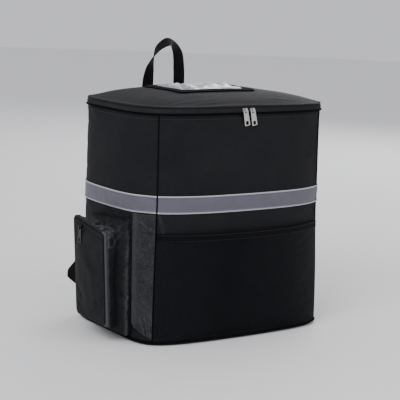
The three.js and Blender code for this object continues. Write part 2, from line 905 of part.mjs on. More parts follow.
const pouchSliderY = pouchRearY - pouchZipMargin - pouchSliderMargin;
const pouchSliderHeight = sloped(pouchSliderY, pouchZipMiddle, 1);
const pouchSliderPuff = facePuff(
  pouchSliderY - sliderLength / 2,
  pouchZipMiddle - sliderHeight / 2,
);
const pouchSliderX = pouchFaceAt(pouchSliderHeight + sliderHeight / 2) - pouchSliderPuff
  - seatGap * 2 - pouchZipThickness;

addSlider("lid_zip_left", frontAt(leftSliderX), 0, pullLean, silverMetal);
addSlider("lid_zip_right", frontAt(rightSliderX), 0, pullLean, silverMetal);
const pouchSliderPlace = new THREE.Vector3(pouchSliderX, pouchSliderY, pouchSliderHeight);
addSlider("pouch_zip", pouchSliderPlace, -Math.PI / 2, 0, darkMetal);

// Card window: a clear sheet on the lid inside a bound frame

function windowOutline(inset) {
  const path = new THREE.Path();
  const halfWidth = windowWidth / 2 - inset;
  const halfDepth = windowDepth / 2 - inset;
  const corner = Math.max(1, windowCorner - inset);
  roundedRectangle(path, -halfWidth, -halfDepth, halfWidth, halfDepth, corner);
  return path.getSpacedPoints(windowSteps).slice(0, windowSteps);
}

// A point over the lid, given from the window's own centre
function overLid(point, out) {
  const y = windowCentreY + point.y;
  const x = windowCentreX + point.x;
  return new THREE.Vector3(x, y, lidHeight(x, y) + out);
}

function windowSheet() {
  const edge = windowOutline(windowBinding + seatGap);
  const ring = (share, out) =>
    edge.map((point) => overLid(point.clone().multiplyScalar(share), out));
  const shares = [1, 0.7, 0.35];
  return ringSolid([
    ...shares.toReversed().map((share) => ring(share, seatGap)),
    ...shares.map((share) => ring(share, seatGap + windowThickness)),
  ]);
}

function windowFrame() {
  const outside = windowOutline(0);
  const inside = windowOutline(windowBinding);
  const top = seatGap + windowBindingThickness;
  const rings = outside.map((point, index) => [
    overLid(point, seatGap),
    overLid(point, top),
    overLid(inside[index], top),
    overLid(inside[index], seatGap),
  ]);
  return ringSolid(rings, true);
}

addMesh(bag, "card_window", windowSheet(), clearSheet);
addMesh(bag, "card_window_binding", windowFrame(), blackBinding);

// Ribbons: flat webbing and padded straps along a course

// A flat section at a point, with its width along one direction and thickness along another
function flatRing(centre, across, through, width, thickness) {
  return [[-1, -1], [1, -1], [1, 1], [-1, 1]].map(([side, face]) =>
    centre
      .clone()
      .addScaledVector(across, (side * width) / 2)
      .addScaledVector(through, (face * thickness) / 2),
  );
}

// A padded section: full in the middle, thinner towards both edges
function paddedRing(centre, across, through, width, thickness) {
  const corners = [[-0.9, -0.7], [0, -1], [0.9, -0.7], [1, 0], [0.9, 0.7], [0, 1], [-0.9, 0.7], [-1, 0]];
  return corners.map(([side, face]) =>
    centre
      .clone()
      .addScaledVector(across, (side * width) / 2)
      .addScaledVector(through, (face * thickness) / 2),
  );
}

function haulHandle() {
  const overPiping = seatGap * 2 + rimPipingRadius * 2 + webbingThickness / 2;
  const backY = bodyPoint(90, bodyHeight).y + overPiping;
  const rows = [
    { side: -1, height: bodyHeight - handleFoot, turn: 0 },
    ...handleCourse.map((row) => ({ ...row, height: bodyHeight + row.rise * handleRise })),
    { side: 1, height: bodyHeight - handleFoot, turn: 180 },
  ];
  const centres = rows.map((row) => new THREE.Vector3((row.side * handleSpan) / 2, backY, row.height));
  const path = new THREE.CatmullRomCurve3(centres);
  const steps = (rows.length - 1) * 3;
  const rings = [];
  for (let step = 0; step <= steps; step += 1) {
    const at = step / steps;
    const row = Math.min(rows.length - 2, Math.floor(at * (rows.length - 1)));
    const inRow = at * (rows.length - 1) - row;
    const turn = THREE.MathUtils.degToRad(blend(rows[row].turn, rows[row + 1].turn, inRow));
    const along = path.getTangent(at);
    const flat = new THREE.Vector3(0, 1, 0).cross(along).normalize();
    const facing = new THREE.Vector3(0, 1, 0);
    const across = flat.clone().multiplyScalar(Math.cos(turn)).addScaledVector(facing, Math.sin(turn));
    const through = along.clone().cross(across).normalize();
    rings.push(flatRing(path.getPoint(at), across, through, webbingWidth, webbingThickness));
  }
  return ringSolid(rings);
}

addMesh(bag, "haul_handle", haulHandle(), blackWebbing);

// Shoulder straps: padded, sewn in under the rim, standing off the back

const strapTopX = handleSpan / 2 + webbingWidth / 2 + strapHandleClearance
  + (strapWidth * strapCourse[0].width) / 2;

function backPoint(x, height, out) {
  const angle = angleWhere("x", x, height, rearRight, rearLeft);
  return bodyPoint(angle, height, out);
}

function strapPath(side) {
  const seat = seatGap + strapThickness * strapSeatShare;
  const course = strapCourse.map((row) => {
    const height = strapTop - row.down * strapLength;
    const x = side * (strapTopX + row.splay * strapSplay);
    const wall = backPoint(side * strapTopX, strapTop, seat);
    return new THREE.Vector3(x, wall.y + row.off * strapStandOff, height);
  });
  return new THREE.CatmullRomCurve3(course);
}

function frameAlong(path, at) {
  const along = path.getTangent(at);
  const across = new THREE.Vector3(0, 1, 0).cross(along).normalize();
  const through = along.clone().cross(across).normalize();
  return { centre: path.getPoint(at), along, across, through };
}

function shoulderStrap(side) {
  const path = strapPath(side);
  const steps = 16;
  const rings = [];
  for (let step = 0; step <= steps; step += 1) {
    const at = step / steps;
    const { centre, across, through } = frameAlong(path, at);
    const row = Math.min(strapCourse.length - 2, Math.floor(at * (strapCourse.length - 1)));
    const inRow = at * (strapCourse.length - 1) - row;
    const share = blend(strapCourse[row].width, strapCourse[row + 1].width, inRow);
    rings.push(paddedRing(centre, across, through, strapWidth * share, strapThickness));
  }
  return ringSolid(rings);
}

// Buckle: a frame with two slots, hung from the lower end of the strap
function buckleFrame(side) {
  const { centre, along, across, through } = frameAlong(strapPath(side), 1);
  const middle = centre.clone().addScaledVector(along, seatGap + buckleHeight / 2);
  return { middle, along, across, through };
}

function buckleGeometry() {
  const shape = new THREE.Shape();
  const halfWidth = buckleWidth / 2;
  const halfHeight = buckleHeight / 2;
  roundedRectangle(shape, -halfWidth, -halfHeight, halfWidth, halfHeight, buckleCorner);
  const slotHalf = webbingWidth / 2 + webbingClearance;
  const slotNear = buckleBar / 2;
  const slotFar = halfHeight - buckleBar;
  for (const [low, high] of [[-slotFar, -slotNear], [slotNear, slotFar]]) {
    shape.holes.push(roundedRectangle(new THREE.Path(), -slotHalf, low, slotHalf, high, slotCorner));
  }
  const geometry = new THREE.ExtrudeGeometry(shape, {
    depth: buckleThickness,
    bevelEnabled: false,
    curveSegments: 3,
  });
  geometry.translate(0, 0, -buckleThickness / 2);
  return geometry;
}

function addBuckle(name, side) {
  const { middle, along, across, through } = buckleFrame(side);
  const mesh = addMesh(bag, name, buckleGeometry(), blackPlastic);
  const right = across.clone().negate();
  mesh.quaternion.setFromRotationMatrix(new THREE.Matrix4().makeBasis(right, along, through));
  mesh.position.copy(middle);
}

// Corner tab: a folded triangle of cloth in the rear seam, near the base
function tabFrame(side) {
  const angle = side > 0 ? rearRight : rearLeft;
  const rootOut = seamPipingRadius * 2 + seatGap * 2;
  const away = planNormal(angle, tabHeight);
  return { angle, rootOut, away: new THREE.Vector3(away.x, away.y, 0) };
}

function cornerTab(side) {
  const { angle, rootOut, away } = tabFrame(side);
  const flat = new THREE.Vector3(-away.y, away.x, 0);
  const rows = [
    { reach: 0, half: 0.5 },
    { reach: 0.5, half: 0.36 },
    { reach: 0.86, half: 0.2 },
    { reach: 1, half: 0.12 },
  ];
  const rings = rows.map((row) =>
    [[-1, -1], [-1, 1], [1, 1], [1, -1]].map(([up, face]) => {
      const height = tabHeight + up * row.half * tabBase;
      const point = bodyPoint(angle, height, rootOut + row.reach * tabReach);
      return point.addScaledVector(flat, (face * tabThickness) / 2);
    }),
  );
  return ringSolid(rings);
}

// Lower webbing: from the tab up behind the buckle, round its middle bar and down as a free tail
function lowerWebbing(side) {
  const { angle, rootOut, away } = tabFrame(side);
  const { middle, along, across, through } = buckleFrame(side);
  const flat = new THREE.Vector3(-away.y, away.x, 0).multiplyScalar(side);
  const seat = tabThickness / 2 + seatGap * 2 + webbingThickness / 2;
  const start = bodyPoint(angle, tabHeight, rootOut + tabReach * tabGrip).addScaledVector(flat, seat);
  const ride = Math.hypot(buckleBar, buckleThickness) / 2 + webbingThickness / 2 + webbingClearance;
  const place = (down, out) =>
    middle.clone().addScaledVector(along, down).addScaledVector(through, out);
  const under = place(buckleHeight / 2, -ride);
  const course = [0, 0.2, 0.4, 0.6, 0.8].map((share) => {
    const point = start.clone().lerp(under, share);
    return point.addScaledVector(through, -webbingSag * Math.sin(Math.PI * share));
  });
  course.push(under, place(0, -ride));
  for (const turn of [-60, -30, 0, 30, 60]) {
    const angle = THREE.MathUtils.degToRad(turn);
    course.push(place(-ride * Math.cos(angle), ride * Math.sin(angle)));
  }
  course.push(place(0, ride), place(buckleHeight / 2, ride));
  const hanging = course.at(-1);
  for (const share of [0.35, 0.7, 1]) {
    course.push(hanging.clone().add(new THREE.Vector3(0, 0, -tailLength * share)));
  }
  const firstAcross = flat.clone().cross(under.clone().sub(start)).normalize();
  if (firstAcross.dot(across) < 0) firstAcross.negate();
  const rings = course.map((point, index) => {
    const before = course[Math.max(0, index - 1)];
    const after = course[Math.min(course.length - 1, index + 1)];
    const tangent = after.clone().sub(before).normalize();
    const sideways = firstAcross.clone().lerp(across, Math.min(1, index / 5));
    const facing = tangent.clone().cross(sideways).normalize();
    const flatAcross = facing.clone().cross(tangent).normalize();
    return flatRing(point, flatAcross, facing, webbingWidth, webbingThickness);
  });
  return ringSolid(rings);
}

for (const [word, side] of [["left", -1], ["right", 1]]) {
  addMesh(bag, `shoulder_strap_${word}`, shoulderStrap(side), blackCloth);
  addBuckle(`strap_buckle_${word}`, side);
  addMesh(bag, `corner_tab_${word}`, cornerTab(side), blackWebbing);
  addMesh(bag, `lower_webbing_${word}`, lowerWebbing(side), blackWebbing);
}

export default bag;
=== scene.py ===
import math

import bpy
import numpy as np
from mathutils import Matrix, Vector, noise


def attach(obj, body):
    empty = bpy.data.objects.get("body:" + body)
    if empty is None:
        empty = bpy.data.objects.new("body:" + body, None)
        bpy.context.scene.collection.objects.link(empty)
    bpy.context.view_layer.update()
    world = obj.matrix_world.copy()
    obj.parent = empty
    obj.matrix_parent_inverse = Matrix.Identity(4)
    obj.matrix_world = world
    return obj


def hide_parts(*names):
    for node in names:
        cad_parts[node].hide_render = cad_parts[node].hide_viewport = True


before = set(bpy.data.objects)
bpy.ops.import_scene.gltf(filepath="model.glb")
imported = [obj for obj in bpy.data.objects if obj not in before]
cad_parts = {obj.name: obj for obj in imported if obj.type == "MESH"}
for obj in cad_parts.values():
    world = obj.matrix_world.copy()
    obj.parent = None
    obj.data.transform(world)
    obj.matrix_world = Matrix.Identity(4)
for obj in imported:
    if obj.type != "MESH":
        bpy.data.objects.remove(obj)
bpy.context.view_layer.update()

# Camera. A long lens on a stand, a little above the middle of the bag, that sees the front and
# the side with the pouch. It is turned by two degrees in its own plane.
camera_aim = Vector((0, 0, 0.2))
camera_distance = 2.4028
camera_turn = math.radians(-34.235)
camera_rise = math.radians(10.121)
camera_roll = math.radians(2.18)
camera_back = Vector((
    math.sin(camera_turn) * math.cos(camera_rise),
    -math.cos(camera_turn) * math.cos(camera_rise),
    math.sin(camera_rise),
))
camera_level = Vector((math.cos(camera_turn), math.sin(camera_turn), 0))
camera_upright = camera_back.cross(camera_level)
camera_right = camera_level * math.cos(camera_roll) + camera_upright * math.sin(camera_roll)
camera_up = camera_upright * math.cos(camera_roll) - camera_level * math.sin(camera_roll)
bpy.ops.object.camera_add()
camera = bpy.context.object
camera.name = "studio_camera"
camera_axes = Matrix((camera_right, camera_up, camera_back)).transposed().to_4x4()
camera.matrix_world = Matrix.Translation(camera_aim + camera_back * camera_distance) @ camera_axes
camera.data.lens = 117
camera.data.sensor_width = 36
camera.data.shift_x = -0.0029
camera.data.shift_y = 0.0321
bpy.context.scene.camera = camera


# Studio. A pale floor, a white surround, a large soft light high on the left and a weaker one on
# the right.
def add_node(tree, kind, values=(), **settings):
    node = tree.nodes.new(kind)
    for key, value in settings.items():
        setattr(node, key, value)
    for slot, value in dict(values).items():
        if isinstance(value, bpy.types.NodeSocket):
            tree.links.new(value, node.inputs[slot])
        else:
            node.inputs[slot].default_value = value
    return node


def new_material(name):
    material = bpy.data.materials.new(name)
    material.use_nodes = True
    return material, material.node_tree, material.node_tree.nodes["Principled BSDF"]


def soft_light(name, place, size, power):
    bpy.ops.object.light_add(type="AREA", location=place)
    light = bpy.context.object
    light.name = name
    light.data.size = size
    light.data.energy = power
    towards = Vector((0, 0, 0.22)) - Vector(place)
    light.rotation_euler = towards.to_track_quat("-Z", "Y").to_euler()


surround = bpy.data.worlds.new("studio_surround")
surround.use_nodes = True
surround.node_tree.nodes["Background"].inputs["Color"].default_value = (0.96, 0.965, 1, 1)
surround.node_tree.nodes["Background"].inputs["Strength"].default_value = 0.75
bpy.context.scene.world = surround
soft_light("high_left_light", (-2.4, -1.3, 2.2), 1.8, 64)
soft_light("right_front_light", (1.6, -2.6, 1.4), 1.8, 22)
soft_light("rear_light", (2.2, 1.7, 1.8), 1.8, 40)

bpy.ops.mesh.primitive_circle_add(vertices=96, radius=9, fill_type="TRIFAN")
floor = bpy.context.object
floor.name = "studio_floor"
floor_paper, _, floor_shader = new_material("pale_paper")
floor_shader.inputs["Base Color"].default_value = (0.86, 0.86, 0.87, 1)
floor_shader.inputs["Roughness"].default_value = 0.9
floor.data.materials.append(floor_paper)


# Body walls. Four padded panels of coated cloth, sewn to each other at the corners, to the base
# below and to the zip above. The padding swells between the seams.
wall_thickness = 0.006
base_round = 0.007
body_width = 0.400
body_depth = 0.270
body_height = 0.400
wall_foot = 0.004
front_swell = 0.017
side_swell = 0.008
back_swell = 0.006
section_heights = np.array([0, 0.61, 1]) * body_height
section_width = [0.985, 1, 0.99]
section_depth = [1.015, 1, 1]
section_squareness = [6.3, 4.2, 4.5]
section_front = [0.7, 1, 0.05]
section_side = [0, 1, 0.9]


def eased(height, values):
    """A section value at each height, eased between the rows of the table."""
    row = np.clip(np.searchsorted(section_heights, height, side="left"), 1, 2)
    low = section_heights[row - 1]
    share = np.clip((height - low) / (section_heights[row] - low), 0, 1)
    share = share * share * (3 - 2 * share)
    values = np.array(values, float)
    return values[row - 1] + (values[row] - values[row - 1]) * share


def square_angle(turn):
    """The bearing of a point that goes once round a square as turn goes from 0 to 1."""
    way = np.mod(turn, 1) * 8
    a = np.interp(way, [0, 1, 3, 5, 7, 8], [1, 1, -1, -1, 1, 1])
    b = np.interp(way, [0, 1, 3, 5, 7, 8], [0, 1, 1, -1, -1, 0])
    return np.arctan2(b, a)


def plan(angle, height):
    n = eased(height, section_squareness)
    reach = (np.abs(np.cos(angle)) ** n + np.abs(np.sin(angle)) ** n) ** (-1 / n)
    x = np.cos(angle) * reach
    y = np.sin(angle) * reach
    swell_x = np.sign(x) * side_swell * eased(height, section_side) * (1 - y * y)
    swell_y = np.where(y < 0, -front_swell * eased(height, section_front), back_swell) * (1 - x * x)
    return (
        body_width / 2 * eased(height, section_width) * x + swell_x,
        body_depth / 2 * eased(height, section_depth) * y + swell_y,
    )


def on_outline(turn, height, out=0.0):
    """Points on the bag's plain outline, so far out from it."""
    turn, height, out = np.broadcast_arrays(turn, height, out)
    angle = square_angle(turn)
    x, y = plan(angle, height)
    x1, y1 = plan(angle + 0.01, height)
    x0, y0 = plan(angle - 0.01, height)
    length = np.hypot(x1 - x0, y1 - y0)
    lift = np.clip(base_round - height, 0, base_round)
    out = out - (base_round - np.sqrt(base_round ** 2 - lift ** 2))
    return np.stack([x + (y1 - y0) / length * out, y - (x1 - x0) / length * out, height], -1)


def spread(columns, rows):
    """Shares from 0 to 1 across and along a table of so many cells."""
    return np.meshgrid(np.linspace(0, 1, columns + 1), np.linspace(0, 1, rows + 1))


def square_table(cells):
    """For each place on a square table, its share of the way out to the edge and its bearing."""
    a, b = (part * 2 - 1 for part in spread(cells, cells))
    return np.maximum(np.abs(a), np.abs(b)), np.arctan2(b, a)


def unit(vectors):
    """The same directions, each of length one."""
    return vectors / np.linalg.norm(vectors, axis=-1, keepdims=True)


def coordinates(mesh):
    flat = np.empty(len(mesh.vertices) * 3)
    mesh.vertices.foreach_get("co", flat)
    return flat.reshape(-1, 3)


def place_points(mesh, points):
    mesh.vertices.foreach_set("co", np.ascontiguousarray(points, float).ravel())
    mesh.update()


def pick(piece):
    """Selects one piece alone and makes it the active one."""
    bpy.ops.object.select_all(action="DESELECT")
    piece.select_set(True)
    bpy.context.view_layer.objects.active = piece


def edit(piece, *steps):
    """Runs edit-mode operators on all of one piece."""
    pick(piece)
    bpy.ops.object.mode_set(mode="EDIT")
    bpy.ops.mesh.select_all(action="SELECT")
    for step in steps:
        step()
    bpy.ops.object.mode_set(mode="OBJECT")


def apply(piece, kind, **settings):
    """Adds a modifier with these settings and applies it."""
    pick(piece)
    modifier = piece.modifiers.new(kind, kind)
    for key, value in settings.items():
        setattr(modifier, key, value)
    bpy.ops.object.modifier_apply(modifier=modifier.name)


def thicken(piece, thickness):
    """Gives cloth its thickness, on the side that its faces turn away from."""
    apply(piece, "SOLIDIFY", thickness=thickness, offset=-1.0)


def turn_out(piece):
    edit(piece, lambda: bpy.ops.mesh.normals_make_consistent(inside=False))


def close_ends(piece):
    """Fills the open ends of a tube and turns all its faces outwards."""
    edit(piece, lambda: bpy.ops.mesh.select_all(action="DESELECT"),
         bpy.ops.mesh.select_non_manifold, lambda: bpy.ops.mesh.fill_holes(sides=0))
    turn_out(piece)


def cut_cloth(name, table, around=False, along=False, flip=False):
    """A grid of cloth on a table of points, with a UV map in metres. It can close on itself."""
    rows, columns = table.shape[0] - 1, table.shape[1] - 1
    bpy.ops.object.select_all(action="DESELECT")
    bpy.ops.mesh.primitive_grid_add(x_subdivisions=columns, y_subdivisions=rows, size=2)
    piece = bpy.context.object
    piece.name = name
    mesh = piece.data
    mesh.name = name
    start = coordinates(mesh)
    column = np.rint((start[:, 0] + 1) / 2 * columns).astype(int)
    row = np.rint((start[:, 1] + 1) / 2 * rows).astype(int)
    place_points(mesh, table[row, column])
    middle = table[rows // 2]
    upright = table[:, columns // 2]
    wide = np.append(0, np.cumsum(np.linalg.norm(np.diff(middle, axis=0), axis=1)))
    high = np.append(0, np.cumsum(np.linalg.norm(np.diff(upright, axis=0), axis=1)))
    corner = np.empty(len(mesh.loops), int)
    mesh.loops.foreach_get("vertex_index", corner)
    uv = np.stack([wide[column[corner]], high[row[corner]]], -1)
    mesh.uv_layers[0].data.foreach_set("uv", uv.ravel())
    index = mesh.attributes.new("grid", "INT", "POINT")
    index.data.foreach_set("value", row * (columns + 1) + column)
    if around or along:
        edit(piece, lambda: bpy.ops.mesh.remove_doubles(threshold=1e-6))
    if flip:
        edit(piece, bpy.ops.mesh.flip_normals)
    mesh.shade_smooth()
    return piece


def grid_index(mesh):
    """For each point of a piece of cut cloth, its place in the table that it was cut on."""
    index = np.empty(len(mesh.vertices), int)
    mesh.attributes["grid"].data.foreach_get("value", index)
    return index


def table_of(piece, columns, rows):
    """The table of points of a piece of cut cloth, as it lies now."""
    table = np.full(((rows + 1) * (columns + 1), 3), np.nan)
    table[grid_index(piece.data)] = coordinates(piece.data)
    table = table.reshape(rows + 1, columns + 1, 3)
    for first, last in ((0, columns), (columns, 0)):
        gone = np.isnan(table[:, first, 0])
        table[gone, first] = table[gone, last]
    return table


def settle(piece, held, pressure, slack=0.0, limit=0.004, bending=0.6):
    """Lets cloth swell and buckle between the points that are held by its seams."""
    mesh = piece.data
    before = coordinates(mesh)
    held = held.ravel()[grid_index(mesh)]
    group = piece.vertex_groups.new(name="held")
    for weight in np.unique(held[held > 0]):
        group.add(np.flatnonzero(held == weight).tolist(), float(weight), "REPLACE")
    pick(piece)
    cloth = piece.modifiers.new("Cloth", "CLOTH")
    settings = cloth.settings
    settings.vertex_group_mass = group.name
    settings.effector_weights.gravity = 0
    settings.use_pressure = True
    settings.uniform_pressure_force = pressure
    settings.shrink_min = -slack
    settings.mass = 0.02
    settings.quality = 5
    stiffness = 12.0
    settings.tension_stiffness = stiffness
    settings.compression_stiffness = stiffness
    settings.shear_stiffness = stiffness / 3
    settings.bending_stiffness = bending
    settings.air_damping = 2
    for moment in range(1, 21):
        bpy.context.scene.frame_set(moment)
    bpy.ops.object.modifier_apply(modifier=cloth.name)
    bpy.context.scene.frame_set(1)
    piece.vertex_groups.clear()
    move = coordinates(mesh) - before
    length = np.linalg.norm(move, axis=1, keepdims=True)
    kept = limit * np.tanh(length / limit) / np.maximum(length, 1e-9)
    place_points(mesh, before + move * kept)


def ruffle(table, size, seed):
    """Even noise from -1 to 1 at each point of a table, with lumps of a size in metres."""
    flat = table.reshape(-1, 3) / size + seed
    values = np.array([noise.noise(Vector(point)) for point in flat])
    return values.reshape(table.shape[:-1])


def new_group(name, inputs, outputs):
    group = bpy.data.node_groups.new(name, "ShaderNodeTree")
    for label, kind, value in inputs:
        socket = group.interface.new_socket(label, in_out="INPUT", socket_type=kind)
        if value is not None:
            socket.default_value = value
    for label, kind in outputs:
        group.interface.new_socket(label, in_out="OUTPUT", socket_type=kind)
    return group, group.nodes.new("NodeGroupInput").outputs, group.nodes.new("NodeGroupOutput").inputs


def maths(tree, operation, *values):
    return add_node(tree, "ShaderNodeMath", enumerate(values), operation=operation).outputs[0]


def mottle(tree, vector, scale, detail=2.0):
    values = {"Vector": vector, "Scale": scale, "Detail": detail, "Roughness": 0.6}
    return add_node(tree, "ShaderNodeTexNoise", values).outputs["Fac"]


def shade_between(tree, share, low, high):
    values = {"Factor": share, 6: low, 7: high}
    return add_node(tree, "ShaderNodeMix", values, data_type="RGBA").outputs[2]


def emboss(tree, shader, height, distance, strength, **settings):
    """Bends the light on a material as if its surface rose by a height."""
    values = {"Height": height, "Distance": distance, "Strength": strength}
    bump = add_node(tree, "ShaderNodeBump", values, **settings)
    tree.links.new(bump.outputs["Normal"], shader.inputs["Normal"])


# Plain weave. Crossing yarns with uneven dye that pales in patches, and painted highlights in the same pale
# colour wherever the material raises the mix. This one node group serves every woven cloth.
weave_group, weave_in, weave_out = new_group(
    "plain_weave",
    [
        ("Vector", "NodeSocketVector", None),
        ("Color", "NodeSocketColor", (0.02, 0.02, 0.02, 1)),
        ("Pale_and_highlight", "NodeSocketColor", (0.05, 0.05, 0.05, 1)),
        ("Yarns", "NodeSocketFloat", 4700.0),
        ("Mottle_and_highlight", "NodeSocketFloat", 0.5),
        ("Roughness", "NodeSocketFloat", 0.7),
    ],
    [("Color", "NodeSocketColor"), ("Roughness", "NodeSocketFloat"), ("Height", "NodeSocketFloat")],
)
weave_axes = add_node(weave_group, "ShaderNodeSeparateXYZ", {0: weave_in["Vector"]}).outputs
weft = maths(weave_group, "SINE", maths(weave_group, "MULTIPLY", weave_axes[0], weave_in["Yarns"]))
warp = maths(weave_group, "SINE", maths(weave_group, "MULTIPLY", weave_axes[1], weave_in["Yarns"]))
weave_relief = maths(weave_group, "MULTIPLY_ADD", maths(weave_group, "MULTIPLY", weft, warp), 0.5, 0.5)
weave_patches = mottle(weave_group, weave_in["Vector"], 20.0, 3.0)
weave_blotches = mottle(weave_group, weave_in["Vector"], 210.0, 3.0)
weave_specks = mottle(weave_group, weave_in["Vector"], 900.0, 2.0)
weave_share = maths(weave_group, "MULTIPLY_ADD", weave_blotches, 1.9, -1.6)
weave_share = maths(weave_group, "MULTIPLY_ADD", weave_patches, 1.7, weave_share)
weave_share = maths(weave_group, "MULTIPLY_ADD", weave_specks, 1.1, weave_share)
weave_share = maths(weave_group, "MULTIPLY_ADD", weave_relief, 0.12, weave_share)
weave_mottle_and_highlight = maths(weave_group, "MULTIPLY", weave_share, weave_in["Mottle_and_highlight"])
weave_group.links.new(
    shade_between(weave_group, weave_mottle_and_highlight, weave_in["Color"], weave_in["Pale_and_highlight"]), weave_out["Color"])
weave_group.links.new(
    maths(weave_group, "MULTIPLY_ADD", weave_specks, 0.15, weave_in["Roughness"]),
    weave_out["Roughness"])
weave_height = maths(weave_group, "MULTIPLY_ADD", weave_blotches, 2.0, weave_relief)
weave_group.links.new(
    maths(weave_group, "MULTIPLY_ADD", weave_specks, 0.6, weave_height), weave_out["Height"])


def woven(name, color, yarns=1500.0, bloom=0.4, pale_and_highlight_gain=1.8, roughness=0.62, relief=0.0002, gloss=0.12,
          sheen=0.0, painted_light=0.0, on_uv=True):
    """A cloth finish whose weave follows the piece's UV map, with painted highlights where its attribute
    says.
    """
    material, tree, shader = new_material(name)
    if on_uv:
        vector = add_node(tree, "ShaderNodeUVMap").outputs[0]
    else:
        vector = add_node(tree, "ShaderNodeTexCoord").outputs["Object"]
    cloth = tree.nodes.new("ShaderNodeGroup")
    cloth.node_tree = weave_group
    tree.links.new(vector, cloth.inputs["Vector"])
    cloth.inputs["Color"].default_value = (*color, 1)
    pale = sum(color) / 3 * pale_and_highlight_gain
    cloth.inputs["Pale_and_highlight"].default_value = (pale, pale, pale * 1.12, 1)
    cloth.inputs["Yarns"].default_value = yarns * math.pi
    cloth.inputs["Mottle_and_highlight"].default_value = bloom
    cloth.inputs["Roughness"].default_value = roughness
    if painted_light:
        painted_light_share = add_node(tree, "ShaderNodeAttribute", attribute_name="painted_light").outputs["Fac"]
        tree.links.new(maths(tree, "MULTIPLY_ADD", painted_light_share, painted_light, bloom), cloth.inputs["Mottle_and_highlight"])
    tree.links.new(cloth.outputs["Color"], shader.inputs["Base Color"])
    tree.links.new(cloth.outputs["Roughness"], shader.inputs["Roughness"])
    emboss(tree, shader, cloth.outputs["Height"], relief, 0.6)
    shader.inputs["Specular IOR Level"].default_value = gloss
    shader.inputs["Sheen Weight"].default_value = sheen
    shader.inputs["Sheen Roughness"].default_value = 0.4
    return material


def paint_light_points(piece, table):
    """Stores how much painted light each point of a piece of cut cloth gets, from 0 to 1."""
    index = grid_index(piece.data)
    painted_light = piece.data.attributes.new("painted_light", "FLOAT", "POINT")
    painted_light.data.foreach_set("value", np.clip(np.ravel(table)[index], 0, 1).astype(np.float32))


def finish(piece, material, slot, *nodes, body="bag"):
    """Gives a piece its material and its body, and hides the CAD nodes that it stands for. Its slot is not
    used.
    """
    piece.data.materials.clear()
    piece.data.materials.append(material)
    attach(piece, body)
    if nodes:
        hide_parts(*nodes)


coated_cloth = woven("coated_cloth", (0.0052, 0.0054, 0.0072), bloom=0.5, pale_and_highlight_gain=2.0)
wall_cloth = woven("wall_cloth", (0.0052, 0.0054, 0.0072), bloom=0.2, pale_and_highlight_gain=4.0, painted_light=1.5)
wall_columns = 320
wall_rows = 92
seam_turns = (1 / 8, 3 / 8, 5 / 8, 7 / 8)
strip_foot = 0.230
strip_head = 0.2605
wall_turn, wall_share = spread(wall_columns, wall_rows)
wall_height = wall_foot + (body_height - wall_foot) * wall_share
wall_inset = 0.0016
seam_ridge = 0.0014
wall_table = on_outline(wall_turn, wall_height, -wall_inset)
seam_distance = np.min([np.abs(wall_turn - turn) for turn in seam_turns], axis=0)
wall_held = np.zeros_like(wall_turn)
wall_held[(wall_height < 0.012) | (wall_height > body_height - 0.005)] = 1
wall_held[seam_distance < 0.002] = 1
for sewn_line in (strip_foot, strip_head):
    wall_held[(np.abs(wall_height - sewn_line) < 0.003) & (wall_held == 0)] = 0.5
lumps = ruffle(wall_table, 0.045, 3.1) * 0.0006 + ruffle(wall_table, 0.016, 7.7) * 0.0002
loose = np.clip(seam_distance / 0.02, 0, 1)
pinch_start = 0.6283
pinch_slant = 0.29
pinch_width = 0.0026
pinch_foot = 0.192
pinch_depth = 0.003
pinch_turn = pinch_start + (strip_foot - wall_height) * pinch_slant
pinch = np.exp(-((wall_turn - pinch_turn) / pinch_width) ** 2)
pinch *= (np.clip((wall_height - pinch_foot) / 0.006, 0, 1)
          * np.clip((strip_foot - wall_height) / 0.004, 0, 1))
wall_out = -wall_inset + lumps * loose + seam_ridge * (1 - loose) + pinch_depth * pinch
wall_table = on_outline(wall_turn, wall_height, wall_out)
body_walls = cut_cloth("body_walls", wall_table, around=True)
settle(body_walls, wall_held, pressure=4.0, slack=0.004, limit=0.0035)
# Painted highlight: a paler line along the ridge of the pinched fold.
paint_light_points(body_walls, 0.7 * pinch)
wall_table = table_of(body_walls, wall_columns, wall_rows)
wall_across = np.roll(wall_table[:, :-1], -1, axis=1) - np.roll(wall_table[:, :-1], 1, axis=1)
wall_across = np.concatenate([wall_across, wall_across[:, :1]], axis=1)
wall_normals = unit(np.cross(wall_across, np.gradient(wall_table, axis=0)))


def on_wall(turn, height, out=0.0):
    """Points on the settled body walls, so far out from them."""
    turn, height, out = np.broadcast_arrays(turn, height, out)
    column = np.mod(turn, 1) * wall_columns
    row = np.clip((height - wall_foot) / (body_height - wall_foot), 0, 1) * wall_rows
    left = np.minimum(column.astype(int), wall_columns - 1)
    low = np.minimum(row.astype(int), wall_rows - 1)
    across = (column - left)[..., None]
    up = (row - low)[..., None]

    def between(table):
        lower = table[low, left] * (1 - across) + table[low, left + 1] * across
        upper = table[low + 1, left] * (1 - across) + table[low + 1, left + 1] * across
        return lower * (1 - up) + upper * up

    return between(wall_table) + between(wall_normals) * out[..., None]


thicken(body_walls, wall_thickness)
finish(body_walls, wall_cloth, "body_cloth", "body_shell")

# Base. A padded panel of the same cloth, laid flat under the bag, whose rounded edge is sewn to the
# walls under the base piping.
base_cells = 96
base_share, base_angle = square_table(base_cells)
flat_share = 0.94
round_turn = np.clip((base_share - flat_share) / (1 - flat_share), 0, 1) * math.pi / 2
base_height = base_round * (1 - np.cos(round_turn))


def turn_of(angle):
    """The share of the way round a square at which a bearing lies."""
    reach = np.maximum(np.abs(np.cos(angle)), np.abs(np.sin(angle)))
    a = np.cos(angle) / reach
    b = np.sin(angle) / reach
    upper = np.where(b >= 1 - 1e-9, 2 - a, np.where(a > 0, b, 4 - b))
    lower = np.where(b <= -1 + 1e-9, 6 + a, np.where(a > 0, 8 + b, 4 - b))
    return np.where(b >= 0, upper, lower) / 8


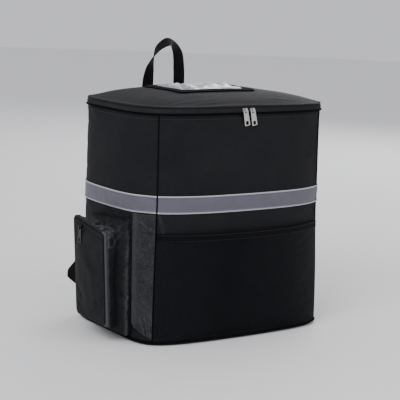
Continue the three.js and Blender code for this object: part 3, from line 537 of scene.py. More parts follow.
base_edge = on_outline(turn_of(base_angle), base_height)
base_inner = np.minimum(base_share / flat_share, 1)[..., None]
base_table = base_edge * np.concatenate([base_inner, base_inner, np.ones_like(base_inner)], axis=-1)
base_panel = cut_cloth("base_panel", base_table, flip=True)
thicken(base_panel, 0.004)
finish(base_panel, coated_cloth, "body_cloth", "body_shell")


# Piping. A cord in black tape, sewn into the four corner seams, round the base and round the rim.
def sweep(name, path, normals, section, closed=False):
    """Sweeps a closed section, in shares out and aside, along a path of points."""
    if closed:
        along = np.roll(path, -1, axis=0) - np.roll(path, 1, axis=0)
    else:
        along = np.gradient(path, axis=0)
    along = unit(along)
    aside = unit(np.cross(along, normals))
    out = np.cross(aside, along)
    section = np.array(section, float)
    if section.ndim == 2:
        section = np.repeat(section[None], len(path), axis=0)
    rows = (path[:, None] + out[:, None] * section[..., :1] + aside[:, None] * section[..., 1:])
    rows = np.concatenate([rows, rows[:, :1]], axis=1)
    if closed:
        rows = np.concatenate([rows, rows[:1]], axis=0)
    piece = cut_cloth(name, rows, around=True, along=closed)
    if closed:
        turn_out(piece)
    else:
        close_ends(piece)
    return piece


def round_cord(radius):
    sides = 10
    turns = np.arange(sides) / sides * math.tau
    return np.stack([np.cos(turns), np.sin(turns)], -1) * radius


def join(name, pieces):
    """Joins like pieces into one, under one name."""
    bpy.ops.object.select_all(action="DESELECT")
    for piece in pieces:
        piece.select_set(True)
    bpy.context.view_layer.objects.active = pieces[0]
    bpy.ops.object.join()
    pieces[0].name = name
    return pieces[0]


def wall_normal(turn, height):
    return unit(on_wall(turn, height, 0.001) - on_wall(turn, height))


binding_tape = woven("binding_tape", (0.0022, 0.0022, 0.0028), yarns=1800, roughness=0.8, gloss=0.04)
corner_names = ("rear_right", "rear_left", "front_left", "front_right")
corner_radius = 0.001
for corner, turn in zip(corner_names, seam_turns):
    heights = np.linspace(0.008, 0.397, 90)
    path = on_wall(turn, heights, corner_radius * 0.7)
    cord = sweep(f"corner_piping_{corner}_cord", path, wall_normal(turn, heights), round_cord(corner_radius))
    finish(cord, binding_tape, "binding", f"corner_piping_{corner}")
ring_turns = np.linspace(0, 1, 361)[:-1]
for name, node, height, radius in (
    ("base_piping_cord", "base_piping", 0.006, 0.0016),
    ("rim_piping_cord", "rim_piping", 0.3985, 0.0014),
):
    path = on_outline(ring_turns, height, radius * 0.6)
    normals = on_outline(ring_turns, height, 0.01) - on_outline(ring_turns, height)
    cord = sweep(name, path, normals, round_cord(radius), closed=True)
    finish(cord, binding_tape, "binding", node)


# Stitching. Rows of grey lockstitch in bonded thread, a little sunk into the padded cloth below
# the rim and beside each seam.
def repeated(name, points, faces):
    """One mesh of many copies of a small shape: a row of points for each copy, and its faces."""
    size = points.shape[1]
    every_face = [tuple(int(corner) + size * copy for corner in face)
                  for copy in range(len(points)) for face in faces]
    mesh = bpy.data.meshes.new(name)
    mesh.from_pydata(points.reshape(-1, 3).tolist(), [], every_face)
    piece = bpy.data.objects.new(name, mesh)
    bpy.context.scene.collection.objects.link(piece)
    return piece


def stitches(name, path, normals, radius=0.00032, closed=False):
    """One small stitch, copied along a path of points on the cloth."""
    length = 0.0032
    gap = 0.0011
    if closed:
        path = np.concatenate([path, path[:1]])
        normals = np.concatenate([normals, normals[:1]])
    way = np.append(0, np.cumsum(np.linalg.norm(np.diff(path, axis=0), axis=1)))
    starts = np.arange(gap, way[-1] - length, length + gap)
    bpy.ops.object.select_all(action="DESELECT")
    bpy.ops.mesh.primitive_ico_sphere_add(subdivisions=1, radius=1)
    grain = bpy.context.object
    shape = coordinates(grain.data)
    shape[:, 2] = shape[:, 2] * 0.7 + 0.3
    faces = [tuple(face.vertices) for face in grain.data.polygons]
    bpy.data.objects.remove(grain)
    share = 0.5 + 0.5 * shape[:, 0]
    middle = np.stack([np.interp(starts[:, None] + share[None] * length, way, path[:, axis])
                       for axis in range(3)], -1)
    lean = unit(np.stack([np.interp(starts + length / 2, way, normals[:, axis]) for axis in range(3)], -1))
    run = unit(middle[:, np.argmax(share)] - middle[:, np.argmin(share)])
    aside = np.cross(run, lean)
    points = (middle + aside[:, None] * shape[None, :, 1:2] * radius
              + lean[:, None] * shape[None, :, 2:] * radius)
    piece = repeated(name, points, faces)
    piece.data.shade_smooth()
    return piece


def bonded(name, color):
    material, tree, shader = new_material(name)
    place = add_node(tree, "ShaderNodeTexCoord").outputs["Object"]
    twist = mottle(tree, place, 1400.0, 1.0)
    dark = tuple(part * 0.6 for part in color)
    tree.links.new(shade_between(tree, twist, (*dark, 1), (*color, 1)), shader.inputs["Base Color"])
    shader.inputs["Roughness"].default_value = 0.5
    return material


grey_thread = bonded("grey_thread", (0.035, 0.035, 0.042))
pale_thread = bonded("pale_thread", (0.16, 0.16, 0.18))
rim_turns = np.linspace(3 / 8 + 0.004, 9 / 8 - 0.004, 500)
rim_row_height = 0.3905
row = stitches("rim_stitches", on_wall(rim_turns, rim_row_height, 0.0002),
               wall_normal(rim_turns, rim_row_height), radius=0.0004)
finish(row, grey_thread, "binding")
base_turns = np.linspace(0, 1, 600)[:-1]
base_row_height = 0.0105
row = stitches("base_stitches", on_wall(base_turns, base_row_height, 0.0001),
               wall_normal(base_turns, base_row_height), closed=True)
finish(row, grey_thread, "binding")

# Zip of the lid. Woven tape that leans in a little, with a row of coiled nylon teeth along its
# middle. It runs along the front and both sides. The back is closed with a strip of plain cloth.
band_foot = 0.4003
band_height = 0.0085
band_lean = 0.0015
tape_thickness = 0.0015


def on_band(turn, up, out=0.0):
    """Points on the leaning zip band."""
    up = np.asarray(up, float)
    points = on_outline(turn, body_height, out - band_lean * up / band_height)
    points[..., 2] = band_foot + up
    return points


band_turn, band_up = spread(300, 6)
tape_turns = 3 / 8 + band_turn * 3 / 4
tape_bow = 0.0004 * np.cos((band_up - 0.5) * math.pi)
zip_tape = cut_cloth("lid_zip_tape", on_band(tape_turns, band_up * band_height, tape_bow - 0.0002))
thicken(zip_tape, tape_thickness)
# The zip tape's colour is set well above the cloth's: painted light in the shade under the lid's edge.
zip_tape_painted_fill = woven("zip_tape_painted_fill", (0.014, 0.0142, 0.0175), yarns=1800, roughness=0.6)
finish(zip_tape, zip_tape_painted_fill, "binding", "zip_band")
hinge_turn, hinge_up = spread(96, 8)
hinge_gap = 0.0008
hinge_turns = -1 / 8 + hinge_gap + hinge_turn * (1 / 4 - 2 * hinge_gap) + 1 / 4
hinge_table = on_band(hinge_turns, hinge_up * band_height, 0.0004)
hinge_cloth = cut_cloth("lid_hinge_cloth", hinge_table)
thicken(hinge_cloth, tape_thickness)
finish(hinge_cloth, coated_cloth, "body_cloth", "lid_hinge_strip")


def coil(name, place, turns, length, height):
    """One coiled tooth, bent from nylon wire, copied along the zip."""
    wire = 0.00045
    pitch = 0.0015
    bpy.ops.object.select_all(action="DESELECT")
    bpy.ops.mesh.primitive_cylinder_add(vertices=6, radius=wire, depth=height)
    tooth = bpy.context.object
    edit(tooth, lambda: bpy.ops.mesh.bevel(offset=0.0003, segments=1, affect="EDGES"))
    shape = coordinates(tooth.data)
    polygons = [tuple(face.vertices) for face in tooth.data.polygons]
    bpy.data.objects.remove(tooth)
    count = int(length / pitch)
    shares = (np.arange(count) + 0.5) / count
    where = turns[0] + (turns[1] - turns[0]) * shares
    points = []
    for row in shape:
        up = row[2] + (0.0002 if row[1] > 0 else -0.0002)
        points.append(place(where, up, 0.0006 + row[1]))
    points = np.array(points).transpose(1, 0, 2)
    along = unit(np.gradient(points.mean(axis=1), axis=0))
    points = points + along[:, None] * shape[None, :, :1]
    piece = repeated(name, points, polygons)
    turn_out(piece)
    piece.data.shade_smooth()
    finish(piece, nylon, "binding")


def moulded(name, color, roughness):
    """Moulded plastic or nylon with a fine grain."""
    material, tree, shader = new_material(name)
    place = add_node(tree, "ShaderNodeTexCoord").outputs["Object"]
    speck = mottle(tree, place, 1500.0, 2.0)
    patch = mottle(tree, place, 60.0, 2.0)
    light = tuple(part * 1.7 for part in color)
    tree.links.new(shade_between(tree, patch, (*color, 1), (*light, 1)), shader.inputs["Base Color"])
    rough = maths(tree, "MULTIPLY_ADD", speck, 0.15, roughness)
    tree.links.new(rough, shader.inputs["Roughness"])
    emboss(tree, shader, speck, 0.00006, 0.5)
    return material


nylon = moulded("zip_nylon", (0.012, 0.012, 0.013), 0.35)
coil("lid_zip_teeth", lambda turn, up, out: on_band(turn, band_height / 2 + up, out),
     (3 / 8 + 0.002, 9 / 8 - 0.002), length=1.03, height=0.0038)


# Sliders, pulls and buckles. Die-cast sliders with stamped pulls, bright on the lid and dark on
# the pouch, and moulded buckles. Their edges are rounded by tumbling.
def cast_metal(name, color, roughness):
    """Plated metal with fine scratches and a duller patch here and there."""
    material, tree, shader = new_material(name)
    place = add_node(tree, "ShaderNodeTexCoord").outputs["Object"]
    stretched = add_node(tree, "ShaderNodeMapping", {"Vector": place, "Scale": (1, 1, 0.12)}).outputs[0]
    scratch = mottle(tree, stretched, 2600.0, 3.0)
    patch = mottle(tree, place, 220.0, 2.0)
    dull = tuple(part * 0.72 for part in color)
    tree.links.new(shade_between(tree, patch, (*dull, 1), (*color, 1)), shader.inputs["Base Color"])
    rough = maths(tree, "MULTIPLY_ADD", scratch, 0.22, roughness)
    tree.links.new(rough, shader.inputs["Roughness"])
    emboss(tree, shader, scratch, 0.00004, 0.4)
    shader.inputs["Metallic"].default_value = 1.0
    return material


silver_plate = cast_metal("silver_plate", (0.52, 0.5, 0.49), 0.3)
gun_metal = cast_metal("gun_metal", (0.055, 0.055, 0.06), 0.14)
buckle_plastic = moulded("buckle_plastic", (0.012, 0.012, 0.0125), 0.42)


def round_edges(node_name, material, width):
    """Keeps a CAD piece, with rounded edges and a better finish."""
    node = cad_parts[node_name]
    weld = node.modifiers.new("weld", "WELD")
    weld.merge_threshold = 1e-5
    bevel = node.modifiers.new("round", "BEVEL")
    bevel.width = width
    bevel.segments = 2
    bevel.limit_method = "ANGLE"
    bevel.angle_limit = math.radians(35)
    node.data.materials.clear()
    node.data.materials.append(material)


for zip_name, material in (("lid_zip_left", silver_plate), ("lid_zip_right", silver_plate),
                           ("pouch_zip", gun_metal)):
    round_edges(f"{zip_name}_slider", material, 0.00035)
    round_edges(f"{zip_name}_pull", material, 0.0003)
for side in ("left", "right"):
    round_edges(f"strap_buckle_{side}", buckle_plastic, 0.0007)

# Lid. A padded panel of the same coated cloth that domes up from the zip. Its edge is turned under
# and topstitched, and the padding is soft enough to wave a little.
lid_foot = 0.4091
lid_rise = 0.027
lid_shoulder = 2.2
lid_steepness = 0.72
lid_inset = 0.0015
lid_cells = 128
lid_crowding = 1.25


def dome(share):
    return np.maximum(0, 1 - share ** lid_shoulder) ** lid_steepness


lid_a, lid_b = spread(lid_cells, lid_cells)
lid_a = np.sign(lid_a - 0.5) * (1 - (1 - np.abs(lid_a * 2 - 1)) ** lid_crowding)
lid_b = np.sign(lid_b - 0.5) * (1 - (1 - np.abs(lid_b * 2 - 1)) ** lid_crowding)
lid_share = np.maximum(np.abs(lid_a), np.abs(lid_b))
lid_edge = on_outline(turn_of(np.arctan2(lid_b, lid_a)), body_height, -lid_inset)
lid_table = lid_edge * lid_share[..., None]
lid_table[..., 2] = lid_foot + lid_rise * dome(lid_share)
lid_calm = np.clip((1 - lid_share) / 0.08, 0, 1)
lid_table[..., 2] += lid_calm * (ruffle(lid_table, 0.07, 2.3) * 0.0014
                                 + ruffle(lid_table, 0.022, 5.9) * 0.0005 - 0.0012)
lid_cloth = cut_cloth("lid_cloth", lid_table)
lid_held = np.zeros_like(lid_share)
lid_held[lid_share > 0.975] = 1
settle(lid_cloth, lid_held, pressure=3.0, slack=-0.002, limit=0.0025)
lid_table = table_of(lid_cloth, lid_cells, lid_cells)


def over_lid(x, y, out=0.0):
    """Points on top of the settled lid, above points of the plan."""
    x, y, out = np.broadcast_arrays(np.asarray(x, float), y, out)
    bearing = np.arctan2(y, x)
    turns = np.linspace(0, 1, 1441)
    ring = on_outline(turns, body_height, -lid_inset)
    ring_bearing = np.unwrap(np.arctan2(ring[:, 1], ring[:, 0]))
    turn = np.interp(np.mod(bearing - ring_bearing[0], math.tau), ring_bearing - ring_bearing[0], turns)
    edge = on_outline(turn, body_height, -lid_inset)
    share = np.hypot(x, y) / np.hypot(edge[..., 0], edge[..., 1])
    way = square_angle(turn)
    reach = np.maximum(np.abs(np.cos(way)), np.abs(np.sin(way)))
    a = share * np.cos(way) / reach
    b = share * np.sin(way) / reach
    column = (1 + np.sign(a) * (1 - (1 - np.abs(a)) ** (1 / lid_crowding))) / 2 * lid_cells
    row = (1 + np.sign(b) * (1 - (1 - np.abs(b)) ** (1 / lid_crowding))) / 2 * lid_cells
    left = np.clip(column.astype(int), 0, lid_cells - 1)
    low = np.clip(row.astype(int), 0, lid_cells - 1)
    across = column - left
    up = row - low
    z = lid_table[..., 2]
    lower = z[low, left] * (1 - across) + z[low, left + 1] * across
    upper = z[low + 1, left] * (1 - across) + z[low + 1, left + 1] * across
    return np.stack([x, y, lower * (1 - up) + upper * up + out], -1)


# Painted light: the lid grows paler towards its right side.
paint_light_points(lid_cloth, np.clip((lid_table[..., 0] + 0.02) / 0.2, 0, 1))
thicken(lid_cloth, 0.005)
# The lid's cloth is a paler, bluer copy of the coated cloth: painted light on the top that faces the sky.
lid_lit_cloth = woven("lid_lit_cloth", (0.0068, 0.007, 0.0098), bloom=0.2, pale_and_highlight_gain=1.9, painted_light=0.45)
finish(lid_cloth, lid_lit_cloth, "body_cloth", "lid_panel")
welt_path = on_outline(ring_turns, body_height, -lid_inset + 0.0003)
welt_path[:, 2] = lid_foot + 0.0008
welt_normals = on_outline(ring_turns, body_height, 0.01) - on_outline(ring_turns, body_height)
lid_welt = sweep("lid_edge_welt", welt_path, welt_normals, round_cord(0.0011), closed=True)
finish(lid_welt, lid_lit_cloth, "body_cloth")
lid_row_turns = np.linspace(0, 1, 721)[:-1]
lid_row = on_outline(lid_row_turns, body_height, -lid_inset) * 0.972
lid_row = over_lid(lid_row[:, 0], lid_row[:, 1], 0.0001)
lid_lean_from = np.array([0, 0, 0.33])
lid_lean = lid_row - lid_lean_from
row = stitches("lid_stitches", lid_row, lid_lean, closed=True)
finish(row, pale_thread, "binding")

# Card window. A sheet of clear flexible plastic, crinkled with use, under a frame of black tape
# that is sewn to the lid.
window_centre = np.array([-0.014, 0.0])
window_half = np.array([0.084, 0.065])
window_binding = 0.018
window_squareness = 11


def window_ring(turn, inset):
    """Points of the window's outline in plan, so far in from its edge."""
    angle = square_angle(turn)
    n = window_squareness
    reach = (np.abs(np.cos(angle)) ** n + np.abs(np.sin(angle)) ** n) ** (-1 / n)
    half = window_half - inset
    return window_centre + np.stack([np.cos(angle) * reach * half[0], np.sin(angle) * reach * half[1]], -1)


sheet_cells = 110
sheet_share, sheet_angle = square_table(sheet_cells)
sheet_edge = window_ring(turn_of(sheet_angle), window_binding - 0.002)
sheet_plan = window_centre + (sheet_edge - window_centre) * sheet_share[..., None]
sheet_table = over_lid(sheet_plan[..., 0], sheet_plan[..., 1], 0.0012)
sheet_free = np.clip((1 - sheet_share) / 0.12, 0, 1)
creases = np.abs(ruffle(sheet_table * [1, 0.5, 1], 0.028, 4.4)) * 0.0075
creases += np.abs(ruffle(sheet_table * [0.7, 1, 1], 0.012, 8.1)) * 0.003
sheet_table[..., 2] += sheet_free * creases
card_sheet = cut_cloth("card_window_sheet", sheet_table)
thicken(card_sheet, 0.0006)
# The sheet's pale lavender colour and its patchy cover are a painted reflection of the bright surround,
# partly the haze of the crinkled plastic.
clear_plastic, clear_tree, clear_shader = new_material("clear_plastic")
clear_place = add_node(clear_tree, "ShaderNodeUVMap").outputs[0]
haze_and_reflection = mottle(clear_tree, clear_place, 42.0, 4.0)
painted_reflection_patch = maths(clear_tree, "MULTIPLY_ADD", haze_and_reflection, 3.2, -0.85)
clear_side = add_node(clear_tree, "ShaderNodeSeparateXYZ", {0: clear_place}).outputs[0]
clear_side = maths(clear_tree, "MINIMUM", maths(clear_tree, "MULTIPLY", clear_side, 30.0), 1.0)
painted_reflection_patch = maths(clear_tree, "MULTIPLY", painted_reflection_patch, clear_side)
clear_tree.links.new(
    shade_between(clear_tree, haze_and_reflection, (0.5, 0.49, 0.58, 1), (0.84, 0.83, 0.92, 1)),
    clear_shader.inputs["Base Color"])
clear_tree.links.new(maths(clear_tree, "MULTIPLY_ADD", haze_and_reflection, 0.2, 0.02),
                     clear_shader.inputs["Roughness"])
clear_tree.links.new(maths(clear_tree, "MINIMUM", maths(clear_tree, "MAXIMUM", painted_reflection_patch, 0.3), 0.95),
                     clear_shader.inputs["Alpha"])
clear_fine = mottle(clear_tree, clear_place, 260.0, 3.0)
emboss(clear_tree, clear_shader, clear_fine, 0.0004, 0.5)
clear_shader.inputs["IOR"].default_value = 1.5
finish(card_sheet, clear_plastic, "clear_sheet", "card_window")

frame_turns = np.linspace(0, 1, 241)
frame_section = [(0, 0.0003), (0, 0.0015), (0.0008, 0.002), (0.009, 0.0022), (0.0172, 0.002),
                 (0.018, 0.0015), (0.018, 0.0003), (0.009, 0.0003), (0, 0.0003)]
frame_rows = []
for inset, out in frame_section:
    course = window_ring(frame_turns, inset)
    frame_rows.append(over_lid(course[:, 0], course[:, 1], out))
window_frame = cut_cloth("card_window_tape", np.array(frame_rows).transpose(1, 0, 2), around=True,
                         along=True)
turn_out(window_frame)
finish(window_frame, binding_tape, "binding", "card_window_binding")
window_lean = np.array([0, 0, 1.2])
for name, inset in (("card_window_outer_stitches", 0.002), ("card_window_inner_stitches", 0.0158)):
    course = window_ring(frame_turns[:-1], inset)
    path = over_lid(course[:, 0], course[:, 1], 0.0023)
    row = stitches(name, path, path + window_lean, closed=True)
    finish(row, grey_thread, "binding")

# Haul handle. One length of ribbed webbing, its ends sewn to the back under the rim. It stands up
# in a loop and turns over at the top.
webbing_width = 0.025
webbing_thickness = 0.0018
handle_span = 0.070
handle_rise = 0.105
handle_foot = 0.026
handle_rows = [
    (-1, -handle_foot / handle_rise, 0), (-1, 0.1, 0), (-0.98, 0.32, 4), (-0.88, 0.52, 22),
    (-0.66, 0.72, 56), (-0.32, 0.9, 94), (0.22, 1, 120), (0.55, 0.95, 142), (0.87, 0.78, 170),
    (0.97, 0.52, 180), (1, 0.3, 180), (1, 0.1, 180), (1, -handle_foot / handle_rise, 180),
]


def smooth_path(points, steps):
    """A smooth path through points: the path, and the share of the rows at each step."""
    points = np.array(points, float)
    padded = np.concatenate([[2 * points[0] - points[1]], points, [2 * points[-1] - points[-2]]])
    at = np.linspace(0, len(points) - 1, steps + 1)
    row = np.minimum(at.astype(int), len(points) - 2)
    t = (at - row)[:, None]
    p0, p1, p2, p3 = (padded[row + index] for index in range(4))
    return 0.5 * (2 * p1 + (p2 - p0) * t + (2 * p0 - 5 * p1 + 4 * p2 - p3) * t ** 2
                  + (3 * p1 - p0 - 3 * p2 + p3) * t ** 3), at


def ribbed(name, color, ribs, across_ribs):
    """Webbing whose ribs run along it, on its own UV map."""
    material, tree, shader = new_material(name)
    place = add_node(tree, "ShaderNodeUVMap").outputs[0]
    axes = add_node(tree, "ShaderNodeSeparateXYZ", {0: place}).outputs
    skew = maths(tree, "MULTIPLY_ADD", axes[0], 0.5, axes[1])
    rib = maths(tree, "SINE", maths(tree, "MULTIPLY", axes[0], ribs * math.tau))
    pick = maths(tree, "SINE", maths(tree, "MULTIPLY", skew, across_ribs * math.tau))
    relief = maths(tree, "MULTIPLY_ADD", pick, 0.35, rib)
    patch = mottle(tree, place, 120.0, 3.0)
    share = maths(tree, "MULTIPLY_ADD", relief, 0.2, patch)
    light = tuple(part * 2.2 for part in color)
    tree.links.new(shade_between(tree, share, (*color, 1), (*light, 1)), shader.inputs["Base Color"])
    shader.inputs["Roughness"].default_value = 0.68
    shader.inputs["Specular IOR Level"].default_value = 0.1
    emboss(tree, shader, relief, 0.0002, 0.7)
    return material


def ribbon(name, centres, across, width, thickness, crown=0.0):
    """A flat length of webbing with rounded edges, on centres with a direction across."""
    along = unit(np.gradient(centres, axis=0))
    across = unit(across - along * np.sum(across * along, axis=1, keepdims=True))
    through = np.cross(along, across)
    side = np.array([-1, -0.97, -0.9, -0.5, 0, 0.5, 0.9, 0.97, 1, 0.97, 0.9, 0.5, 0, -0.5, -0.9, -0.97, -1])
    face = np.array([0, 0.7, 1, 1, 1, 1, 1, 0.7, 0, -0.7, -1, -1, -1, -1, -1, -0.7, 0])
    bow = crown * (1 - side ** 2)
    rows = (centres[:, None] + across[:, None] * (side * width / 2)[None, :, None]
            + through[:, None] * (face * thickness / 2 + bow)[None, :, None])
    piece = cut_cloth(name, rows, around=True)
    close_ends(piece)
    return piece


black_webbing = ribbed("black_webbing", (0.0018, 0.0018, 0.0019), ribs=420.0, across_ribs=900.0)
handle_gap = 0.0006
rim_piping_width = 0.0025
handle_y = on_outline(0.25, body_height)[1] + handle_gap + rim_piping_width + webbing_thickness / 2
handle_points = [(side * handle_span / 2, handle_y, body_height + rise * handle_rise)
                 for side, rise, turn in handle_rows]
handle_path, handle_at = smooth_path(handle_points, 150)
handle_turn = np.radians(np.interp(handle_at, range(len(handle_rows)), [row[2] for row in handle_rows]))
handle_along = unit(np.gradient(handle_path, axis=0))
handle_flat = np.cross(np.array([0, 1, 0]), handle_along)
handle_across = (handle_flat * np.cos(handle_turn)[:, None]
                 + np.array([0, 1, 0]) * np.sin(handle_turn)[:, None])
handle = ribbon("haul_handle_webbing", handle_path, handle_across, webbing_width, webbing_thickness,
                crown=0.0006)
finish(handle, black_webbing, "webbing", "haul_handle")
box_stitches = []
for side in (-1, 1):
    centre = np.array([side * handle_span / 2, handle_y + webbing_thickness / 2 + 0.0001, 0.386])
    half = np.array([0.0105, 0, 0.0095])
    corners = [(-1, -1), (1, -1), (1, 1), (-1, 1), (-1, -1), (1, 1), (1, -1), (-1, 1)]
    outline = np.array([centre + half * [a, 0, b] for a, b in corners])
    fine = np.concatenate([np.linspace(start, end, 12)[:-1] for start, end in zip(outline, outline[1:])])
    lean = np.repeat([[0.0, 1.0, 0.0]], len(fine), axis=0)
    box_stitches.append(stitches("handle_stitches", fine, lean))
row = join("handle_stitches", box_stitches)
finish(row, grey_thread, "webbing")

# Reflective strip. Grey reflective tape with a woven edge, one length on the front and one on each
# side, sewn down along both borders.
strip_border = 0.0032
tape_group, tape_in, tape_out = new_group(
    "bead_tape",
    [("Vector", "NodeSocketVector", None), ("Color", "NodeSocketColor", (0.2, 0.2, 0.2, 1))],
    [("Color", "NodeSocketColor"), ("Height", "NodeSocketFloat")],
)
bead_cells = add_node(tape_group, "ShaderNodeTexVoronoi", {"Vector": tape_in["Vector"], "Scale": 900.0})
bead_patch = mottle(tape_group, tape_in["Vector"], 25.0, 4.0)
bead_share = maths(tape_group, "MULTIPLY_ADD", bead_cells.outputs["Distance"], 0.3, bead_patch)
bead_dark = add_node(
    tape_group, "ShaderNodeMix", {"Factor": 1.0, 6: tape_in["Color"], 7: (0.72, 0.72, 0.72, 1)},
    data_type="RGBA", blend_type="MULTIPLY").outputs[2]
tape_group.links.new(shade_between(tape_group, bead_share, tape_in["Color"], bead_dark), tape_out["Color"])
tape_group.links.new(bead_cells.outputs["Distance"], tape_out["Height"])


def beaded(name, color, edge_highlight_color, roughness):
    """Glass-bead tape, with a painted highlight on the raised woven edges that its attribute marks."""
    material, tree, shader = new_material(name)
    place = add_node(tree, "ShaderNodeUVMap").outputs[0]
    beads = tree.nodes.new("ShaderNodeGroup")
    beads.node_tree = tape_group
    tree.links.new(place, beads.inputs["Vector"])
    beads.inputs["Color"].default_value = (*color, 1)
    edge_highlight = add_node(tree, "ShaderNodeAttribute", attribute_name="painted_light").outputs["Fac"]
    tree.links.new(shade_between(tree, edge_highlight, beads.outputs["Color"], (*edge_highlight_color, 1)),
                   shader.inputs["Base Color"])
    emboss(tree, shader, beads.outputs["Height"], 0.0001, 0.4)
    shader.inputs["Roughness"].default_value = roughness
    shader.inputs["Specular IOR Level"].default_value = 0.3
    return material


# The pale second colour is a painted highlight on the tape's raised edges.
reflective_tape = beaded("reflective_tape", (0.114, 0.112, 0.144), (0.45, 0.45, 0.49), 0.45)
seam_gap = 0.0014
for name, start in (("left", 3 / 8), ("front", 5 / 8), ("right", 7 / 8)):
    share, up = spread(110, 16)
    up = np.interp(up, [0, 0.12, 0.2, 0.8, 0.88, 1], [0, 0.10, 0.11, 0.89, 0.90, 1])
    turns = start + seam_gap + share * (1 / 4 - 2 * seam_gap)
    heights = strip_foot + up * (strip_head - strip_foot)
    edge = np.minimum(up, 1 - up) * (strip_head - strip_foot) < strip_border + 0.0001
    strip_table = on_wall(turns, heights, np.where(edge, 0.0017, 0.0012))
    strip = cut_cloth(f"reflective_tape_{name}", strip_table)
    # Painted highlight along both raised edges of the tape.
    paint_light_points(strip, np.minimum(up, 1 - up) * (strip_head - strip_foot) < 0.0016)
    thicken(strip, 0.001)
    finish(strip, reflective_tape, "reflective_tape", f"reflective_strip_{name}")
    row_turns = np.linspace(start + 0.003, start + 1 / 4 - 0.003, 240)
    rows = [stitches("strip_row", on_wall(row_turns, height, 0.0018), wall_normal(row_turns, height))
            for height in (strip_foot + 0.0016, strip_head - 0.0016)]
    finish(join(f"reflective_tape_{name}_stitches", rows), pale_thread, "binding")

# Front pocket. Black knitted mesh over the lower front, sewn at its foot and both sides, slack at
# its mouth, where a folded tape binds it.
mesh_foot = 0.0115
hem_foot = 0.182
hem_head = 0.196
mesh_slack = 0.009


def pocket_out(share, height):
    up = np.clip((height - mesh_foot) / (hem_head - mesh_foot), 0, 1)
    return 0.0003 + mesh_slack * np.sin(math.pi * share) * np.sin(math.pi / 2 * up)


def pocket_turn(share):
    return 5 / 8 + seam_gap + share * (1 / 4 - 2 * seam_gap)


knit_share, knit_up = spread(150, 80)
knit_height = mesh_foot + knit_up * (hem_foot + 0.002 - mesh_foot)
knit_table = on_wall(pocket_turn(knit_share), knit_height, pocket_out(knit_share, knit_height) + 0.0015)
knit_loose = np.sin(math.pi * knit_share) * knit_up
knit_table[..., 1] -= knit_loose * ruffle(knit_table, 0.05, 1.7) * 0.0015
mesh_cloth = cut_cloth("front_pocket_mesh", knit_table)
knit_mesh, knit_tree, knit_shader = new_material("knitted_mesh")
knit_place = add_node(knit_tree, "ShaderNodeUVMap").outputs[0]
knit_axes = add_node(knit_tree, "ShaderNodeSeparateXYZ", {0: knit_place}).outputs
knit_slant = 0.56
knit_pitch = 225.0
knit_sum = maths(knit_tree, "MULTIPLY_ADD", knit_axes[0], knit_slant, knit_axes[1])
knit_difference = maths(knit_tree, "MULTIPLY_ADD", knit_axes[0], -knit_slant, knit_axes[1])
knit_one = maths(knit_tree, "SINE", maths(knit_tree, "MULTIPLY", knit_sum, knit_pitch * math.tau))
knit_two = maths(knit_tree, "SINE", maths(knit_tree, "MULTIPLY", knit_difference, knit_pitch * math.tau))
knit_hole = maths(knit_tree, "MULTIPLY", knit_one, knit_two)
knit_slack = maths(knit_tree, "MINIMUM", maths(knit_tree, "MULTIPLY", knit_axes[0], 2.6), 0.52)
knit_alpha = maths(knit_tree, "LESS_THAN", knit_hole, maths(knit_tree, "ADD", knit_slack, 0.42))
knit_tree.links.new(knit_alpha, knit_shader.inputs["Alpha"])
knit_patch = mottle(knit_tree, knit_place, 40.0, 3.0)
knit_dull = shade_between(knit_tree, knit_patch, (0.0012, 0.0014, 0.0024, 1), (0.0031, 0.0036, 0.0058, 1))
knit_ribs = maths(knit_tree, "MULTIPLY_ADD", knit_two, 0.6, knit_hole)
knit_lit = maths(knit_tree, "MAXIMUM", maths(knit_tree, "MULTIPLY_ADD", knit_slack, -4.2, 1.4), 0.0)
knit_lit = maths(knit_tree, "MULTIPLY", knit_ribs, knit_lit)
knit_tree.links.new(shade_between(knit_tree, knit_lit, knit_dull, (0.03, 0.031, 0.035, 1)),
                    knit_shader.inputs["Base Color"])
emboss(knit_tree, knit_shader, knit_hole, 0.0006, 0.8, invert=True)
knit_shader.inputs["Roughness"].default_value = 0.6
knit_shader.inputs["Specular IOR Level"].default_value = 0.08
finish(mesh_cloth, knit_mesh, "mesh_cloth", "front_mesh_pocket")

hem_share, hem_across = spread(150, 10)
hem_profile = np.interp(hem_across, [0, 0.06, 0.2, 0.5, 0.8, 0.94, 1], [0.0012, 0.0022, 0.0027, 0.0024,
                                                                       0.0027, 0.0022, 0.0008])
hem_height = hem_foot + hem_across * (hem_head - hem_foot)
hem_table = on_wall(pocket_turn(hem_share), hem_height, pocket_out(hem_share, hem_height) + hem_profile)
hem = cut_cloth("front_pocket_binding", hem_table)
thicken(hem, 0.0016)
hem_tape = woven("hem_tape", (0.0021, 0.0023, 0.0034), yarns=1800, roughness=0.7, gloss=0.08)
finish(hem, hem_tape, "binding", "front_pocket_hem")
row_shares = np.linspace(0.01, 0.99, 260)
rows = []
for height in (hem_foot + 0.0022, hem_head - 0.0022):
    path = on_wall(pocket_turn(row_shares), height, pocket_out(row_shares, height) + 0.0027)
    rows.append(stitches("hem_row", path, wall_normal(pocket_turn(row_shares), height)))
pocket_stitches = join("front_pocket_stitches", rows)
finish(pocket_stitches, grey_thread, "binding")

# Gathered panel. A softer, brushed cloth on the front part of the left side. Its slanted foot is
# drawn up into puckers, and a loose fold runs down from the strip to the corner seam.
sleeve_head = 0.2285
sleeve_foot_rear = 0.039
sleeve_foot_front = 0.012
pouch_front = -0.084


def side_turn(y, height):
    """The turn at which the left side of the bag reaches a depth."""
    turns = np.linspace(3 / 8 + 0.002, 5 / 8 - 0.0001, 200)
    depth = on_wall(turns, height)[:, 1]
    return np.interp(-y, -depth, turns)


